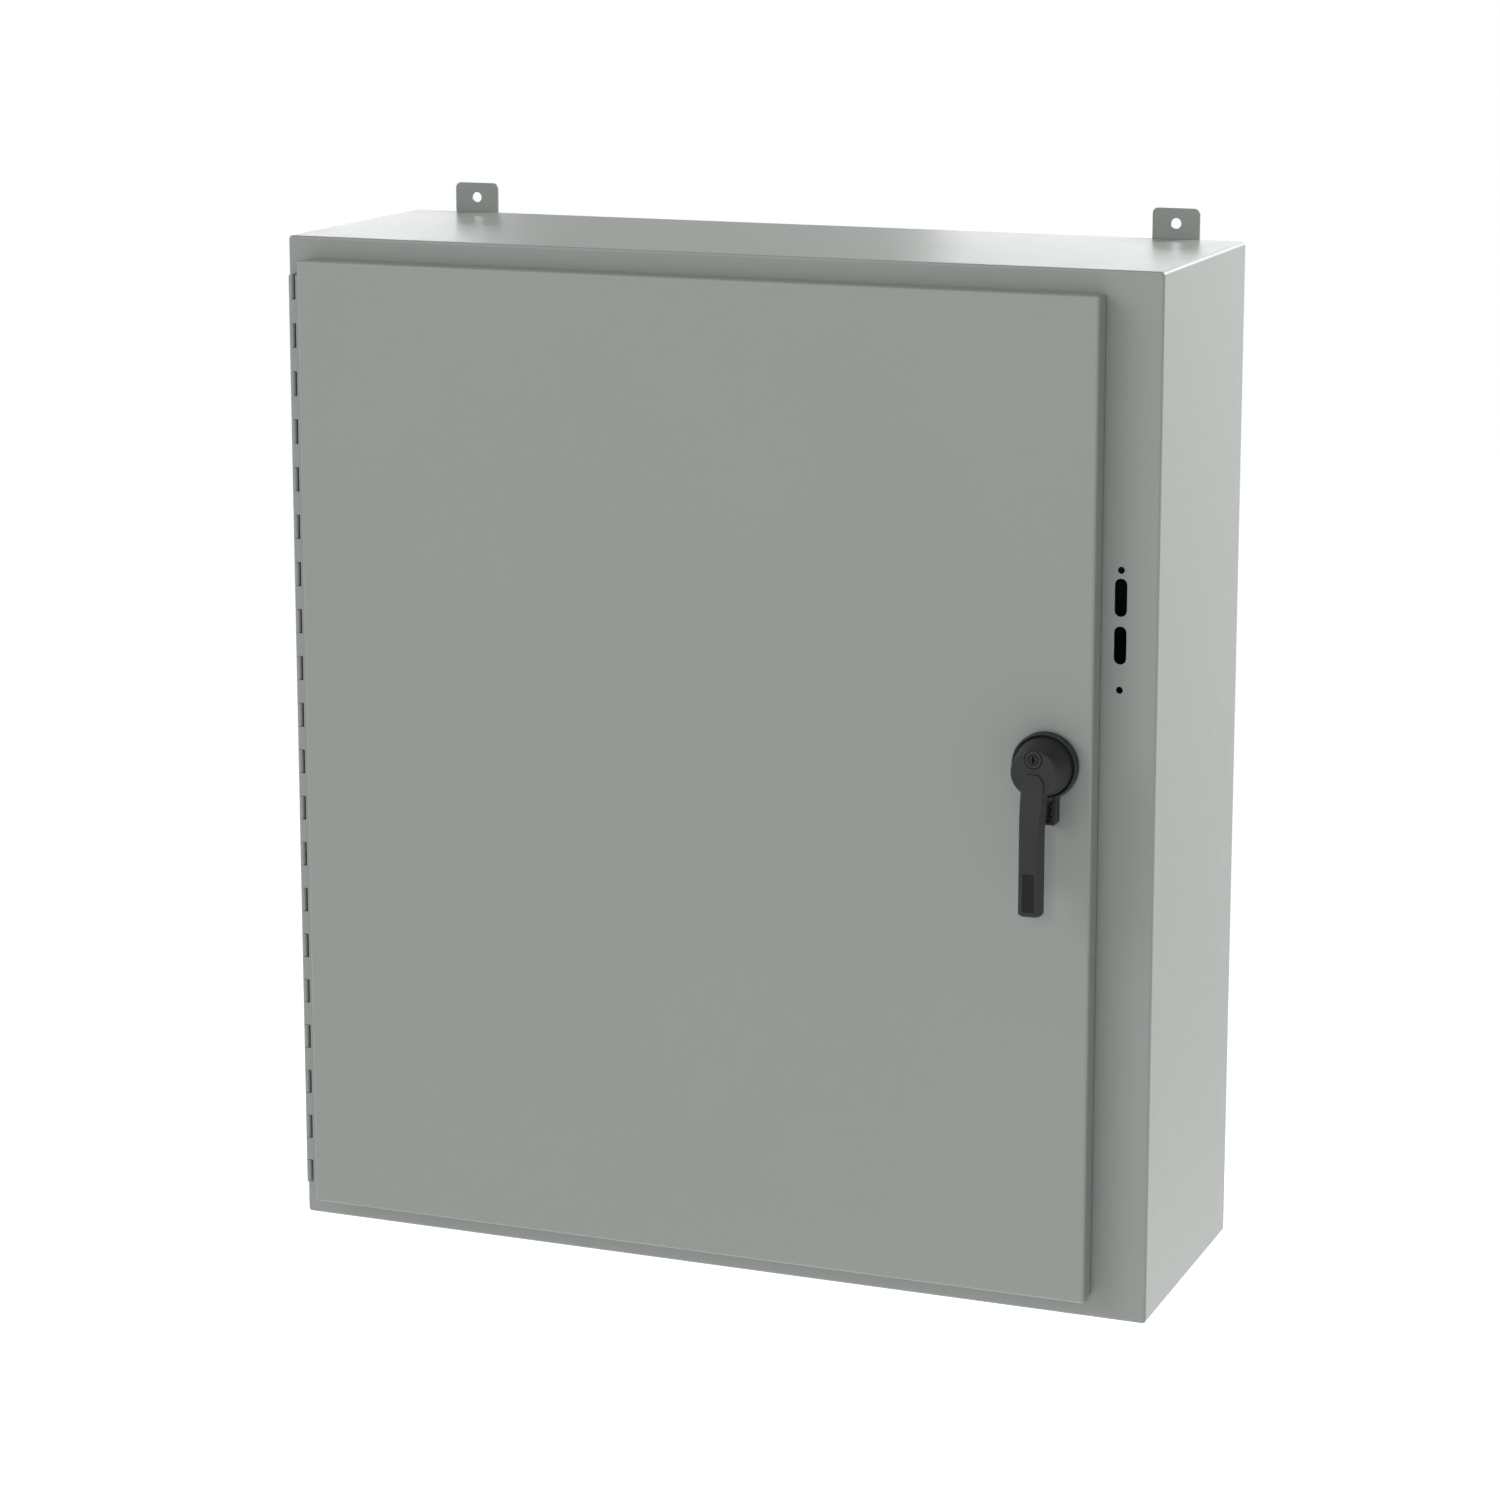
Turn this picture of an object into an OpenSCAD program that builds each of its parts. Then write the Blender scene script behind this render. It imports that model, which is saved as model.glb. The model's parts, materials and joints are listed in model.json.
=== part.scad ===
// Wall-mounted steel cabinet with a hinged door, a lever handle and a three-point latch.
// Origin: centre of the four wall-bolt holes, on the wall plane. Front faces -Y, +Z up.
// Inside the modules, x runs right from the cabinet's left face, y back from the plane of
// its front flange, and z up from its bottom face. place() moves that to the part's frame.

/* [Cabinet] */
// Width of the cabinet
body_w = 949.5; // [900:0.5:1100]
// Height of the cabinet
body_h = 1069.8; // [1040:0.1:1300]
// Depth from the front flange to the back face
body_d = 304.8; // [250:0.1:400]
// Thickness of the cabinet and door sheet
sheet_t = 1.9; // [1.5:0.1:2.5]
// Outer radius of a bend in the sheet
bend_r = 3.2; // [2.8:0.1:4]
// Radius of the cabinet's four long corners
corner_r = 4; // [3:0.5:6]
// Width of the front flange at the left, top and bottom of the door opening
flange_w = 33.5; // [33:0.5:36]
// Width of the front flange at the right of the door opening
right_flange_w = 70; // [69:0.5:72]
// Height of the raised collar round the door opening
collar_h = 18; // [14:0.5:18]
// How far the collar's rolled lip turns outwards
lip_w = 2.5; // [1:0.5:2.5]

/* [Wall tabs] */
// Width of a wall tab
tab_w = 50.8; // [40:0.1:60]
// Thickness of a wall tab
tab_t = 3; // [2:0.1:5]
// How far a tab stands out past the top or bottom
tab_reach = 31.8; // [28:0.1:40]
// Length of tab that is welded to the back
tab_overlap = 44; // [30:1:80]
// Distance from the cabinet's side to a tab's centre line
tab_inset = 75; // [60:1:120]
// Distance from the top or bottom to the bolt hole
tab_hole_out = 15.9; // [12:0.1:20]
// Radius of the bolt hole
tab_hole_r = 5.55; // [4:0.05:7]
// Radius of a tab's corners
tab_corner_r = 6; // [3:0.5:10]

/* [Disconnect cut-out] */
// Distance from the right face to the cut-out's centre line
cutout_inset = 38.6; // [30:0.1:45]
// Height of the cut-out's centre above the bottom
cutout_z = 714.45; // [500:0.05:900]
// Distance between the two small holes
cutout_hole_pitch = 120.3; // [115:0.1:130]
// Radius of the small holes
cutout_hole_r = 3.5; // [2.5:0.1:4.5]
// Distance between the centres of the two slots
slot_pitch = 47.9; // [44:0.1:52]
// Height of the slots' middle above the middle of the small holes
slot_rise = 8.75; // [0:0.05:10]
// Length of a slot
slot_l = 38.1; // [30:0.1:42]
// Width of a slot
slot_w = 12.7; // [10:0.1:14]

/* [Door] */
// Gap between the door's left edge and the cabinet's left face
door_left = 23; // [23:0.5:24]
// Gap between the door's right edge and the cabinet's right face
door_right = 57.5; // [56:0.5:60]
// Gap above and below the door
door_gap_z = 23.2; // [20:0.1:25]
// Distance from the front flange to the door's outer face
door_front = 27; // [27:0.5:30]
// Gap between the door's folded edge and the front flange
door_clear = 3; // [2:0.5:4]
// Width of the foam gasket
gasket_w = 10; // [8:0.5:10]
// Gap between the gasket and the collar
gasket_gap = 0.4; // [0.3:0.1:1]
// Width of a door stiffener
stiffener_w = 38; // [25:1:50]
// Depth of a door stiffener
stiffener_d = 12; // [8:1:14]

/* [Hinge] */
// Length of one knuckle with its gap
knuckle_pitch = 25.4; // [25:0.1:26]
// Number of knuckles, an odd number
knuckle_count = 39; // [37:2:39]
// Gap between two knuckles
knuckle_gap = 0.5; // [0.3:0.1:1]
// Outer radius of the knuckles
knuckle_r = 3.2; // [3:0.1:3.5]
// Radius of the hinge pin
pin_r = 1.6; // [1.2:0.1:1.8]
// Radial clearance round a turning pin
fit = 0.05; // [0.02:0.01:0.08]
// Thickness of a hinge leaf
leaf_t = 1.5; // [1.2:0.1:1.6]
// Gap between the door's leaf and the cabinet's knuckles
leaf_notch = 2.4; // [2:0.1:3]
// Distance from the cabinet's left face to the hinge axis
hinge_x = 10; // [9.5:0.5:10.5]
// Distance from the front flange to the hinge axis
hinge_out = 13; // [13:0.5:14]

/* [Handle] */
// Distance from the door's right edge to the handle's axis
handle_inset = 46; // [45:0.5:48]
// Height of the handle's axis above the door's middle
handle_rise = 45; // [0:1:100]
// Radius of the escutcheon
escutcheon_r = 33.8; // [32:0.1:36]
// Thickness of the escutcheon
escutcheon_t = 9.5; // [8:0.5:11]
// Thickness of the seal under the escutcheon
seal_t = 1.5; // [1:0.1:2]
// Radius of the hub at the escutcheon
hub_base_r = 29.5; // [28:0.5:31]
// Radius of the hub's front face
hub_face_r = 23.2; // [22:0.1:25]
// Distance from the door to the hub's front face
hub_out = 46; // [44:1:50]
// Distance from the door to the lever's front face
lever_out = 56.5; // [54:0.5:60]
// Thickness of the lever
lever_d = 16; // [14:1:18]
// Width of the lever
lever_w = 23; // [20:0.5:24]
// Distance from the handle's axis to the lever's end
lever_l = 143; // [130:1:160]
// Radius of the lever shaft
shaft_r = 7; // [6:0.5:8]
// Distance from the handle's axis up to the lock's axis
lock_rise = 14; // [13.5:0.1:14]
// Radius of the lock's collar
lock_r = 8.6; // [8:0.1:8.8]
// Radius of the key plug
plug_r = 5; // [4:0.5:6]

/* [Latch] */
// Distance from the handle's axis to each rod's pivot
crank_r = 19; // [18:0.5:20]
// Thickness of the latch cam
cam_t = 5; // [4:0.5:5]
// Width of a latch rod
rod_w = 12.7; // [10:0.1:14]
// Thickness of a latch rod
rod_t = 3.2; // [2.5:0.1:3.5]
// Gap between a rod's end and the edge of the door opening
latch_clear = 1; // [1:0.1:2]
// Radius of a rod roller
rod_roller_r = 6; // [5:0.5:6]
// Radius of the cam roller
cam_roller_r = 5; // [4:0.5:5]
// Distance from a rod's end to its guide
guide_inset = 55; // [50:1:80]
// Side clearance of a rod in its guide
guide_play = 5.5; // [5:0.1:7]

/* [Back panel] */
// Width of the back panel
panel_w = 838.2; // [700:0.1:840]
// Height of the back panel
panel_h = 990.6; // [900:0.1:1000]
// Thickness of the back panel
panel_t = 2.7; // [2:0.1:3.5]
// Depth of the back panel's folded edges
panel_fold = 12; // [8:1:15]
// Distance from the panel's edge to its stud
panel_hole_inset = 28; // [25:1:60]
// Length of the collar that spaces the panel off the back
stud_collar_l = 16; // [16:1:30]

/* [Document pocket] */
// Width of the document pocket
pocket_w = 305; // [200:5:400]
// Height of the document pocket
pocket_h = 285; // [150:5:400]
// Depth of the document pocket
pocket_d = 24; // [15:1:24]
// Wall thickness of the document pocket
pocket_t = 2.2; // [1.5:0.1:3]

/* [Hidden] */
$fn = 48;

grey = [0.57, 0.59, 0.57];
white = [0.92, 0.92, 0.9];
black = [0.16, 0.17, 0.16];
rubber = [0.1, 0.1, 0.1];
foam = [0.2, 0.2, 0.2];
pocket_grey = [0.2, 0.21, 0.22];
lock_grey = [0.25, 0.25, 0.25];
zinc = [0.75, 0.75, 0.73];

// Edges of the door opening
open_l = flange_w;
open_r = body_w - right_flange_w;
open_b = flange_w;
open_t = body_h - flange_w;

// The door's outer box
door_l = door_left;
door_r = body_w - door_right;
door_b = door_gap_z;
door_t = body_h - door_gap_z;
door_in = -door_front + sheet_t;
door_bend_r = 3;

// The hinge's lowest end
hinge_l = knuckle_pitch * knuckle_count;
hinge_b = (body_h - hinge_l) / 2;

// The handle's axis, and the planes that its pieces lie on
hx = door_r - handle_inset;
hz = body_h / 2 + handle_rise;
seal_y = -door_front - seal_t;
esc_y = seal_y - escutcheon_t;
hub_gap = 0.9;
hub_y = esc_y - hub_gap;
face_y = -door_front - hub_out;
lever_y = -door_front - lever_out;
lock_z = hz + lock_rise;
lock_depth = 14;
shaft_grip = 11;
screw_x = 22;
screw_r = 2.5;
screw_head_r = 4.7;
screw_hole_r = 2.8;
bushing_r = 30;
bushing_t = 2.5;
bushing_y = door_in + bushing_t;
boss_r = 11;
boss_y = bushing_y + 9;
shaft_hole_r = shaft_r + 1;
square_w = 9;

// Planes of the latch, behind the front flange
roller_gap = 0.3;
cam_y = sheet_t + roller_gap + cam_roller_r - cam_t / 2;
rod_y = cam_y + cam_t + 0.3;
cam_tip_x = open_r - latch_clear - 0.5;
cam_roller_l = 7;
axle_r = 2;
crank_pin_r = 3;
rod_roller_y = sheet_t + roller_gap + rod_roller_r;
rod_roller_l = 6.4;
cheek_gap = rod_roller_l + 0.6;
rod_top = open_t - latch_clear;
rod_bottom = open_b + latch_clear;
guide_t = 3;

// The back panel's place
panel_x = (open_l + open_r) / 2;
panel_y = body_d - sheet_t - stud_collar_l - panel_t;
stud_r = 4.75;
stud_l = 24;
stud_collar_r = 9.5;
washer_r = 11;
washer_t = 1.8;
nut_w = 14.3;
nut_t = 8.2;

// A box between two opposite corners
module box(a, b) {
    translate(a) cube(b - a);
}

// A cylinder along x, y or z from one value to another
module rod_x(r, x0, x1, y, z) {
    translate([x0, y, z]) rotate([0, 90, 0]) cylinder(r = r, h = x1 - x0);
}

module rod_y(r, y0, y1, x, z) {
    translate([x, y1, z]) rotate([90, 0, 0]) cylinder(r = r, h = y1 - y0);
}

module rod_z(r, z0, z1, x, y) {
    translate([x, y, z0]) cylinder(r = r, h = z1 - z0);
}

// Moves a piece from the cabinet's corner to the part's frame
module place() {
    translate([-body_w / 2, -body_d - tab_t, -body_h / 2]) children();
}

// A rectangle with round corners
module round_rect(w, h, r) {
    translate([r, 0]) square([w - 2 * r, h]);
    translate([0, r]) square([w, h - 2 * r]);
    for (x = [r, w - r], y = [r, h - r]) translate([x, y]) circle(r);
}

// A flat outline in x and z, made y0 to y1 thick
module upright(y0, y1) {
    translate([0, y1, 0]) rotate([90, 0, 0]) linear_extrude(y1 - y0) children();
}

// A hexagon nut with its bore, along y
module nut_y(across, r, y0, y1, x, z) {
    difference() {
        translate([x, y1, z]) rotate([90, 0, 0]) cylinder(r = across / sqrt(3), h = y1 - y0, $fn = 6);
        rod_y(r, y0 - 1, y1 + 1, x, z);
    }
}

// Section of a wall and its front flange: x inwards, y back
module wall_section(flange) {
    translate([bend_r, 0]) square([flange - bend_r, sheet_t]);
    translate([0, bend_r]) square([sheet_t, body_d - sheet_t - bend_r]);
    intersection() {
        translate([bend_r, bend_r]) difference() {
            circle(bend_r);
            circle(bend_r - sheet_t);
        }
        square(bend_r);
    }
}

// Section of the collar that stands forward round the opening, with its rolled lip
module collar_section(flange) {
    translate([flange - sheet_t, -collar_h]) square([sheet_t, collar_h]);
    translate([flange - sheet_t - lip_w, -collar_h]) square([sheet_t + lip_w, sheet_t]);
}

// Upright prism of a mitred outline: x inwards, z along the wall
module mitre(points) {
    translate([0, body_d, 0]) rotate([90, 0, 0]) linear_extrude(body_d + 2 * collar_h) polygon(points);
}

// One folded wall lying along z, mitred at both ends. The opening runs from z0 to z1.
module folded_wall(length, flange, z0, z1) {
    m = flange_w;
    intersection() {
        linear_extrude(length) wall_section(flange);
        mitre([[0, 0], [m, m], [flange + 1, m], [flange + 1, length - m], [m, length - m], [0, length]]);
    }
    reach = 2 * lip_w + sheet_t;
    intersection() {
        linear_extrude(length) collar_section(flange);
        mitre([[flange, z0], [flange - reach, z0 - reach], [flange - reach, z1 + reach], [flange, z1]]);
    }
}

// The cabinet's outline, which rounds its four long corners
module body_outline() {
    upright(-2 * collar_h, body_d + 1) round_rect(body_w, body_h, corner_r);
}

module left_wall() {
    color(grey) place() intersection() {
        folded_wall(body_h, flange_w, open_b, open_t);
        body_outline();
    }
}

module right_wall() {
    x = body_w - cutout_inset;
    color(grey) place() difference() {
        intersection() {
            translate([body_w, 0, 0]) mirror([1, 0, 0]) folded_wall(body_h, right_flange_w, open_b, open_t);
            body_outline();
        }
        for (s = [-1, 1]) {
            rod_y(cutout_hole_r, -1, 3, x, cutout_z + s * cutout_hole_pitch / 2);
            slot_z = cutout_z + slot_rise + s * slot_pitch / 2;
            run = (slot_l - slot_w) / 2;
            box([x - slot_w / 2, -1, slot_z - run], [x + slot_w / 2, 3, slot_z + run]);
            for (e = [-1, 1]) rod_y(slot_w / 2, -1, 3, x, slot_z + e * run);
        }
    }
}

// The bottom wall: a folded wall turned so that its length lies along x
module bottom_sheet() {
    intersection() {
        mirror([1, 0, 0]) rotate([0, -90, 0]) folded_wall(body_w, flange_w, open_l, open_r);
        body_outline();
    }
}

module bottom_wall() {
    color(grey) place() bottom_sheet();
}

module top_wall() {
    color(grey) place() translate([0, 0, body_h]) mirror([0, 0, 1]) bottom_sheet();
}

module back_wall() {
    color(grey) place() upright(body_d - sheet_t, body_d) round_rect(body_w, body_h, corner_r);
}

// One wall tab at the cabinet's bottom edge, pointing down
module wall_tab(x) {
    difference() {
        upright(body_d, body_d + tab_t)
            translate([x - tab_w / 2, -tab_reach]) round_rect(tab_w, tab_reach + tab_overlap, tab_corner_r);
        rod_y(tab_hole_r, body_d - 1, body_d + tab_t + 1, x, -tab_hole_out);
    }
}

module mounting_tabs() {
    color(grey) place() for (x = [tab_inset, body_w - tab_inset]) {
        wall_tab(x);
        translate([0, 0, body_h]) mirror([0, 0, 1]) wall_tab(x);
    }
}

// The hinge's knuckles: first = 0 gives the cabinet's leaf, and 1 the door's
module knuckles(first) {
    for (i = [first:2:knuckle_count - 1]) {
        z = hinge_b + i * knuckle_pitch;
        rod_z(knuckle_r, z + knuckle_gap / 2, z + knuckle_pitch - knuckle_gap / 2, hinge_x, -hinge_out);
    }
}

module hinge_bore() {
    rod_z(pin_r + fit, hinge_b - 1, hinge_b + hinge_l + 1, hinge_x, -hinge_out);
}

module hinge_body_leaf() {
    x = hinge_x - knuckle_r;
    notch_y = -hinge_out + 5;
    top = hinge_b + hinge_l;
    color(grey) place() difference() {
        union() {
            knuckles(0);
            box([x, notch_y, hinge_b], [x + leaf_t, 0, top]);
            box([x, -leaf_t, hinge_b], [flange_w - 6, 0, top]);
            for (i = [0:2:knuckle_count - 1]) {
                z = hinge_b + i * knuckle_pitch;
                box([x, -hinge_out, z + knuckle_gap / 2],
                    [x + leaf_t, notch_y, z + knuckle_pitch - knuckle_gap / 2]);
            }
        }
        hinge_bore();
    }
}

module hinge_door_leaf() {
    y = -hinge_out - knuckle_r;
    top = hinge_b + hinge_l;
    color(grey) place() difference() {
        union() {
            knuckles(1);
            box([door_l - leaf_t, y, hinge_b], [door_l, -door_clear - 1, top]);
            box([hinge_x + knuckle_r + leaf_notch, y, hinge_b], [door_l - leaf_t, y + leaf_t, top]);
            for (i = [1:2:knuckle_count - 1]) {
                z = hinge_b + i * knuckle_pitch;
                box([hinge_x, y, z + knuckle_gap / 2],
                    [door_l - leaf_t, y + leaf_t, z + knuckle_pitch - knuckle_gap / 2]);
            }
        }
        hinge_bore();
    }
}

module hinge_pin() {
    color(zinc) place() rod_z(pin_r, hinge_b, hinge_b + hinge_l, hinge_x, -hinge_out);
}

// The four corners of the back panel's studs
module at_studs() {
    dx = panel_w / 2 - panel_hole_inset;
    dz = panel_h / 2 - panel_hole_inset;
    for (x = [-dx, dx], z = [-dz, dz]) translate([panel_x + x, 0, body_h / 2 + z]) children();
}

module back_panel() {
    x0 = panel_x - panel_w / 2;
    z0 = (body_h - panel_h) / 2;
    far_x = x0 + panel_w;
    far_z = z0 + panel_h;
    color(white) place() difference() {
        union() {
            box([x0, panel_y, z0], [far_x, panel_y + panel_t, far_z]);
            for (x = [x0, far_x - panel_t])
                box([x, panel_y, z0], [x + panel_t, panel_y + panel_t + panel_fold, far_z]);
            for (z = [z0, far_z - panel_t])
                box([x0, panel_y, z], [far_x, panel_y + panel_t + panel_fold, z + panel_t]);
        }
        at_studs() rod_y(stud_r + 0.6, panel_y - 1, panel_y + panel_t + 1, 0, 0);
    }
}

module panel_studs() {
    color(zinc) place() at_studs() {
        rod_y(stud_collar_r, panel_y + panel_t, body_d - sheet_t, 0, 0);
        rod_y(stud_r, panel_y + panel_t - stud_l, panel_y + panel_t, 0, 0);
    }
}

module panel_washers() {
    color(zinc) place() at_studs() difference() {
        rod_y(washer_r, panel_y - washer_t, panel_y, 0, 0);
        rod_y(stud_r, panel_y - 2, panel_y + 1, 0, 0);
    }
}

module panel_nuts() {
    color(zinc) place() at_studs() nut_y(nut_w, stud_r, panel_y - washer_t - nut_t, panel_y - washer_t, 0, 0);
}

// The cabinet's earth stud stands on the right wall, near the bottom
ground_z = 110;
ground_y = body_d / 2;
ground_r = 3;
ground_l = 22;
ground_flange_r = 6;
ground_flange_t = 2;
ground_nut_w = 10;
ground_nut_t = 5;
ground_nut_out = 3;

module cabinet_ground_stud() {
    wall = body_w - sheet_t;
    color(zinc) place() {
        rod_x(ground_flange_r, wall - ground_flange_t, wall, ground_y, ground_z);
        rod_x(ground_r, wall - ground_l, wall - ground_flange_t, ground_y, ground_z);
    }
}

module cabinet_ground_nut() {
    x = body_w - sheet_t - ground_nut_out;
    color(zinc) place() difference() {
        translate([x - ground_nut_t, ground_y, ground_z]) rotate([0, 90, 0])
            cylinder(r = ground_nut_w / sqrt(3), h = ground_nut_t, $fn = 6);
        rod_x(ground_r, x - ground_nut_t - 1, x + 1, ground_y, ground_z);
    }
}

// A solid with the door's outline and round front edges, drawn in by inset
module door_block(inset, back) {
    w = door_r - door_l - 2 * inset;
    h = door_t - door_b - 2 * inset;
    r = door_bend_r - inset;
    y = -door_front + inset;
    d = back - y;
    translate([door_l + inset, y, door_b + inset]) intersection() {
        linear_extrude(h) front_rounded(w, d, r);
        rotate([90, 0, 90]) linear_extrude(w) front_rounded_side(d, h, r);
        translate([0, d, 0]) rotate([90, 0, 0]) linear_extrude(d) round_rect(w, h, r);
    }
}

// A w by d rectangle whose two corners at y = 0 are round
module front_rounded(w, d, r) {
    translate([0, r]) square([w, d - r]);
    translate([r, 0]) square([w - 2 * r, d]);
    for (x = [r, w - r]) translate([x, r]) circle(r);
}

// A d by h rectangle whose two corners at x = 0 are round
module front_rounded_side(d, h, r) {
    translate([r, 0]) square([d - r, h]);
    translate([0, r]) square([d, h - 2 * r]);
    for (z = [r, h - r]) translate([r, z]) circle(r);
}

module door_panel() {
    color(grey) place() difference() {
        door_block(0, -door_clear);
        door_block(sheet_t, -door_clear + 5);
        rod_y(shaft_hole_r, -door_front - 1, door_in + 1, hx, hz);
        for (s = [-1, 1]) rod_y(screw_hole_r, -door_front - 1, door_in + 1, hx + s * screw_x, hz);
    }
}

// How far the stiffeners stay from the door's top and bottom
stiffener_end = 55;

// A hat-section stiffener on the door's inner face, from x to x + stiffener_w
module stiffener(x) {
    w = stiffener_w;
    foot = 9;
    top = door_in + stiffener_d;
    linear_extrude(door_t - door_b - 2 * stiffener_end) {
        translate([x, door_in]) square([foot, sheet_t]);
        translate([x + w - foot, door_in]) square([foot, sheet_t]);
        for (s = [foot - sheet_t, w - foot]) translate([x + s, door_in]) square([sheet_t, stiffener_d]);
        translate([x + foot - sheet_t, top - sheet_t]) square([w - 2 * foot + 2 * sheet_t, sheet_t]);
    }
}

module door_stiffeners() {
    color(grey) place() translate([0, 0, door_b + stiffener_end]) {
        stiffener(door_l + 45);
        stiffener(hx - 100);
    }
}

module door_gasket() {
    g = gasket_w / 2;
    mid = sheet_t + lip_w / 2 - 1;
    l = open_l - mid;
    r = open_r + mid;
    b = open_b - mid;
    t = open_t + mid;
    y = -collar_h - gasket_gap;
    color(foam) place() difference() {
        upright(door_in, y) translate([l - g, b - g]) round_rect(r - l + 2 * g, t - b + 2 * g, 4);
        box([l + g, door_in - 1, b + g], [r - g, y + 1, t - g]);
    }
}

pocket_x = door_l + 290;
pocket_z = 190;
rivet_r = 2;
rivet_head_r = 4;
rivet_head_t = 1.2;

// The four rivets' places in the document pocket's back
module at_rivets() {
    for (x = [25, pocket_w - 25], z = [30, pocket_h - 20])
        translate([pocket_x + x, 0, pocket_z + z]) children();
}

module document_pocket() {
    t = pocket_t;
    y1 = door_in + pocket_d;
    color(pocket_grey) place() difference() {
        translate([pocket_x, 0, pocket_z]) difference() {
            upright(door_in, y1) round_rect(pocket_w, pocket_h, 8);
            box([t, door_in + t, t], [pocket_w - t, y1 - t, pocket_h + 1]);
            translate([pocket_w / 2, y1 + 1, pocket_h]) rotate([90, 0, 0])
                cylinder(r = pocket_w / 5, h = t + 2);
        }
        at_rivets() rod_y(rivet_r, door_in - 1, door_in + t + 1, 0, 0);
    }
}

module pocket_rivets() {
    y = door_in + pocket_t;
    color(zinc) place() at_rivets() {
        rod_y(rivet_r, door_in, y, 0, 0);
        rod_y(rivet_head_r, y, y + rivet_head_t, 0, 0);
    }
}

// The padlock tab that hangs under the escutcheon, on its right half
tab_x0 = hx + 1.5;
tab_x1 = hx + 14;
tab_z0 = hz - 59;
tab_y = esc_y - 1.5;
tab_wall = 2.5;
tab_hole_z = [9, 16];

module handle_escutcheon() {
    color(black) place() difference() {
        union() {
            translate([hx, seal_y, hz]) rotate([90, 0, 0]) {
                cylinder(r = escutcheon_r, h = escutcheon_t - 3);
                translate([0, 0, escutcheon_t - 3]) cylinder(r = escutcheon_r - 1.2, h = 3);
            }
            box([tab_x0, tab_y, tab_z0], [tab_x1, seal_y, hz - 20]);
        }
        rod_y(shaft_r + fit, esc_y - 3, seal_y + 1, hx, hz);
        rod_y(hub_base_r + 0.8, esc_y - 5, esc_y, hx, hz);
        for (s = [-1, 1]) rod_y(screw_r, esc_y + 3, seal_y + 1, hx + s * screw_x, hz);
        box([tab_x0 + tab_wall, tab_y - 1, tab_z0 + tab_wall], [tab_x1 - tab_wall, esc_y + 2, hz - 36]);
        for (z = tab_hole_z) rod_y(2, tab_y - 1, seal_y + 1, tab_x0 + 5, tab_z0 + z);
    }
}

module escutcheon_seal() {
    color(rubber) place() difference() {
        rod_y(escutcheon_r - 1.5, seal_y, -door_front, hx, hz);
        rod_y(shaft_hole_r, seal_y - 1, -door_front + 1, hx, hz);
        for (s = [-1, 1]) rod_y(screw_hole_r, seal_y - 1, -door_front + 1, hx + s * screw_x, hz);
    }
}

module escutcheon_screws() {
    color(zinc) place() for (s = [-1, 1]) {
        rod_y(screw_r, esc_y + 4, bushing_y, hx + s * screw_x, hz);
        rod_y(screw_head_r, bushing_y, bushing_y + 3, hx + s * screw_x, hz);
    }
}

module shaft_bushing() {
    color(zinc) place() difference() {
        union() {
            rod_y(bushing_r, door_in, bushing_y, hx, hz);
            rod_y(boss_r, bushing_y, boss_y, hx, hz);
        }
        rod_y(shaft_r + fit, door_in - 1, boss_y + 1, hx, hz);
        for (s = [-1, 1]) rod_y(screw_hole_r, door_in - 1, bushing_y + 1, hx + s * screw_x, hz);
    }
}

// A bracket on the door that a rod slides through, with its foot towards the handle
module rod_guide(z, foot) {
    half = rod_w / 2 + guide_play;
    edge = half + 5;
    back = rod_y + rod_t;
    difference() {
        box([hx - edge, door_in, z], [hx + edge, back + 5, z + guide_t]);
        box([hx - half, rod_y - 0.6, z - 1], [hx + half, back + 0.6, z + guide_t + 1]);
    }
    z0 = foot < 0 ? z + foot : z + guide_t;
    box([hx - edge, door_in, z0], [hx + edge, door_in + guide_t, z0 + abs(foot)]);
}

module rod_guides() {
    color(zinc) place() {
        rod_guide(rod_top - guide_inset, -22);
        rod_guide(rod_bottom + guide_inset - guide_t, 22);
    }
}

door_ground_x = door_l + 130;

module door_ground_stud() {
    color(zinc) place() {
        rod_y(ground_flange_r, door_in, door_in + ground_flange_t, door_ground_x, ground_z);
        rod_y(ground_r, door_in + ground_flange_t, door_in + ground_l, door_ground_x, ground_z);
    }
}

module door_ground_nut() {
    y = door_in + ground_nut_out;
    color(zinc) place() nut_y(ground_nut_w, ground_r, y, y + ground_nut_t, door_ground_x, ground_z);
}

// The lever leans out from the hub down to its bend, and then hangs straight
bend_z = hz - 54;
end_z = hz - lever_l;

// The lever's outline seen from its side, made as wide as the lever
module lever_side() {
    back_y = lever_y + lever_d;
    root_y = face_y - 2.5;
    translate([hx - lever_w / 2, 0, 0]) rotate([90, 0, 90]) linear_extrude(lever_w)
        polygon([[root_y, hz + 2], [root_y, hz - 14], [lever_y, bend_z], [lever_y, end_z + 3],
            [lever_y + 3, end_z], [back_y, end_z], [back_y, bend_z + 3], [root_y + lever_d, hz - 20],
            [root_y + lever_d, hz + 2]]);
}

// The lever's outline seen from the front, with its arched root and round end
module lever_front() {
    w = lever_w;
    upright(lever_y - 1, hub_y - 5) {
        translate([hx - w / 2, end_z]) round_rect(w, lever_l - 12, 5);
        translate([hx - w / 2, hz - 40]) square([w, 31]);
        translate([hx, hz - 9]) circle(w / 2);
    }
}

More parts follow.
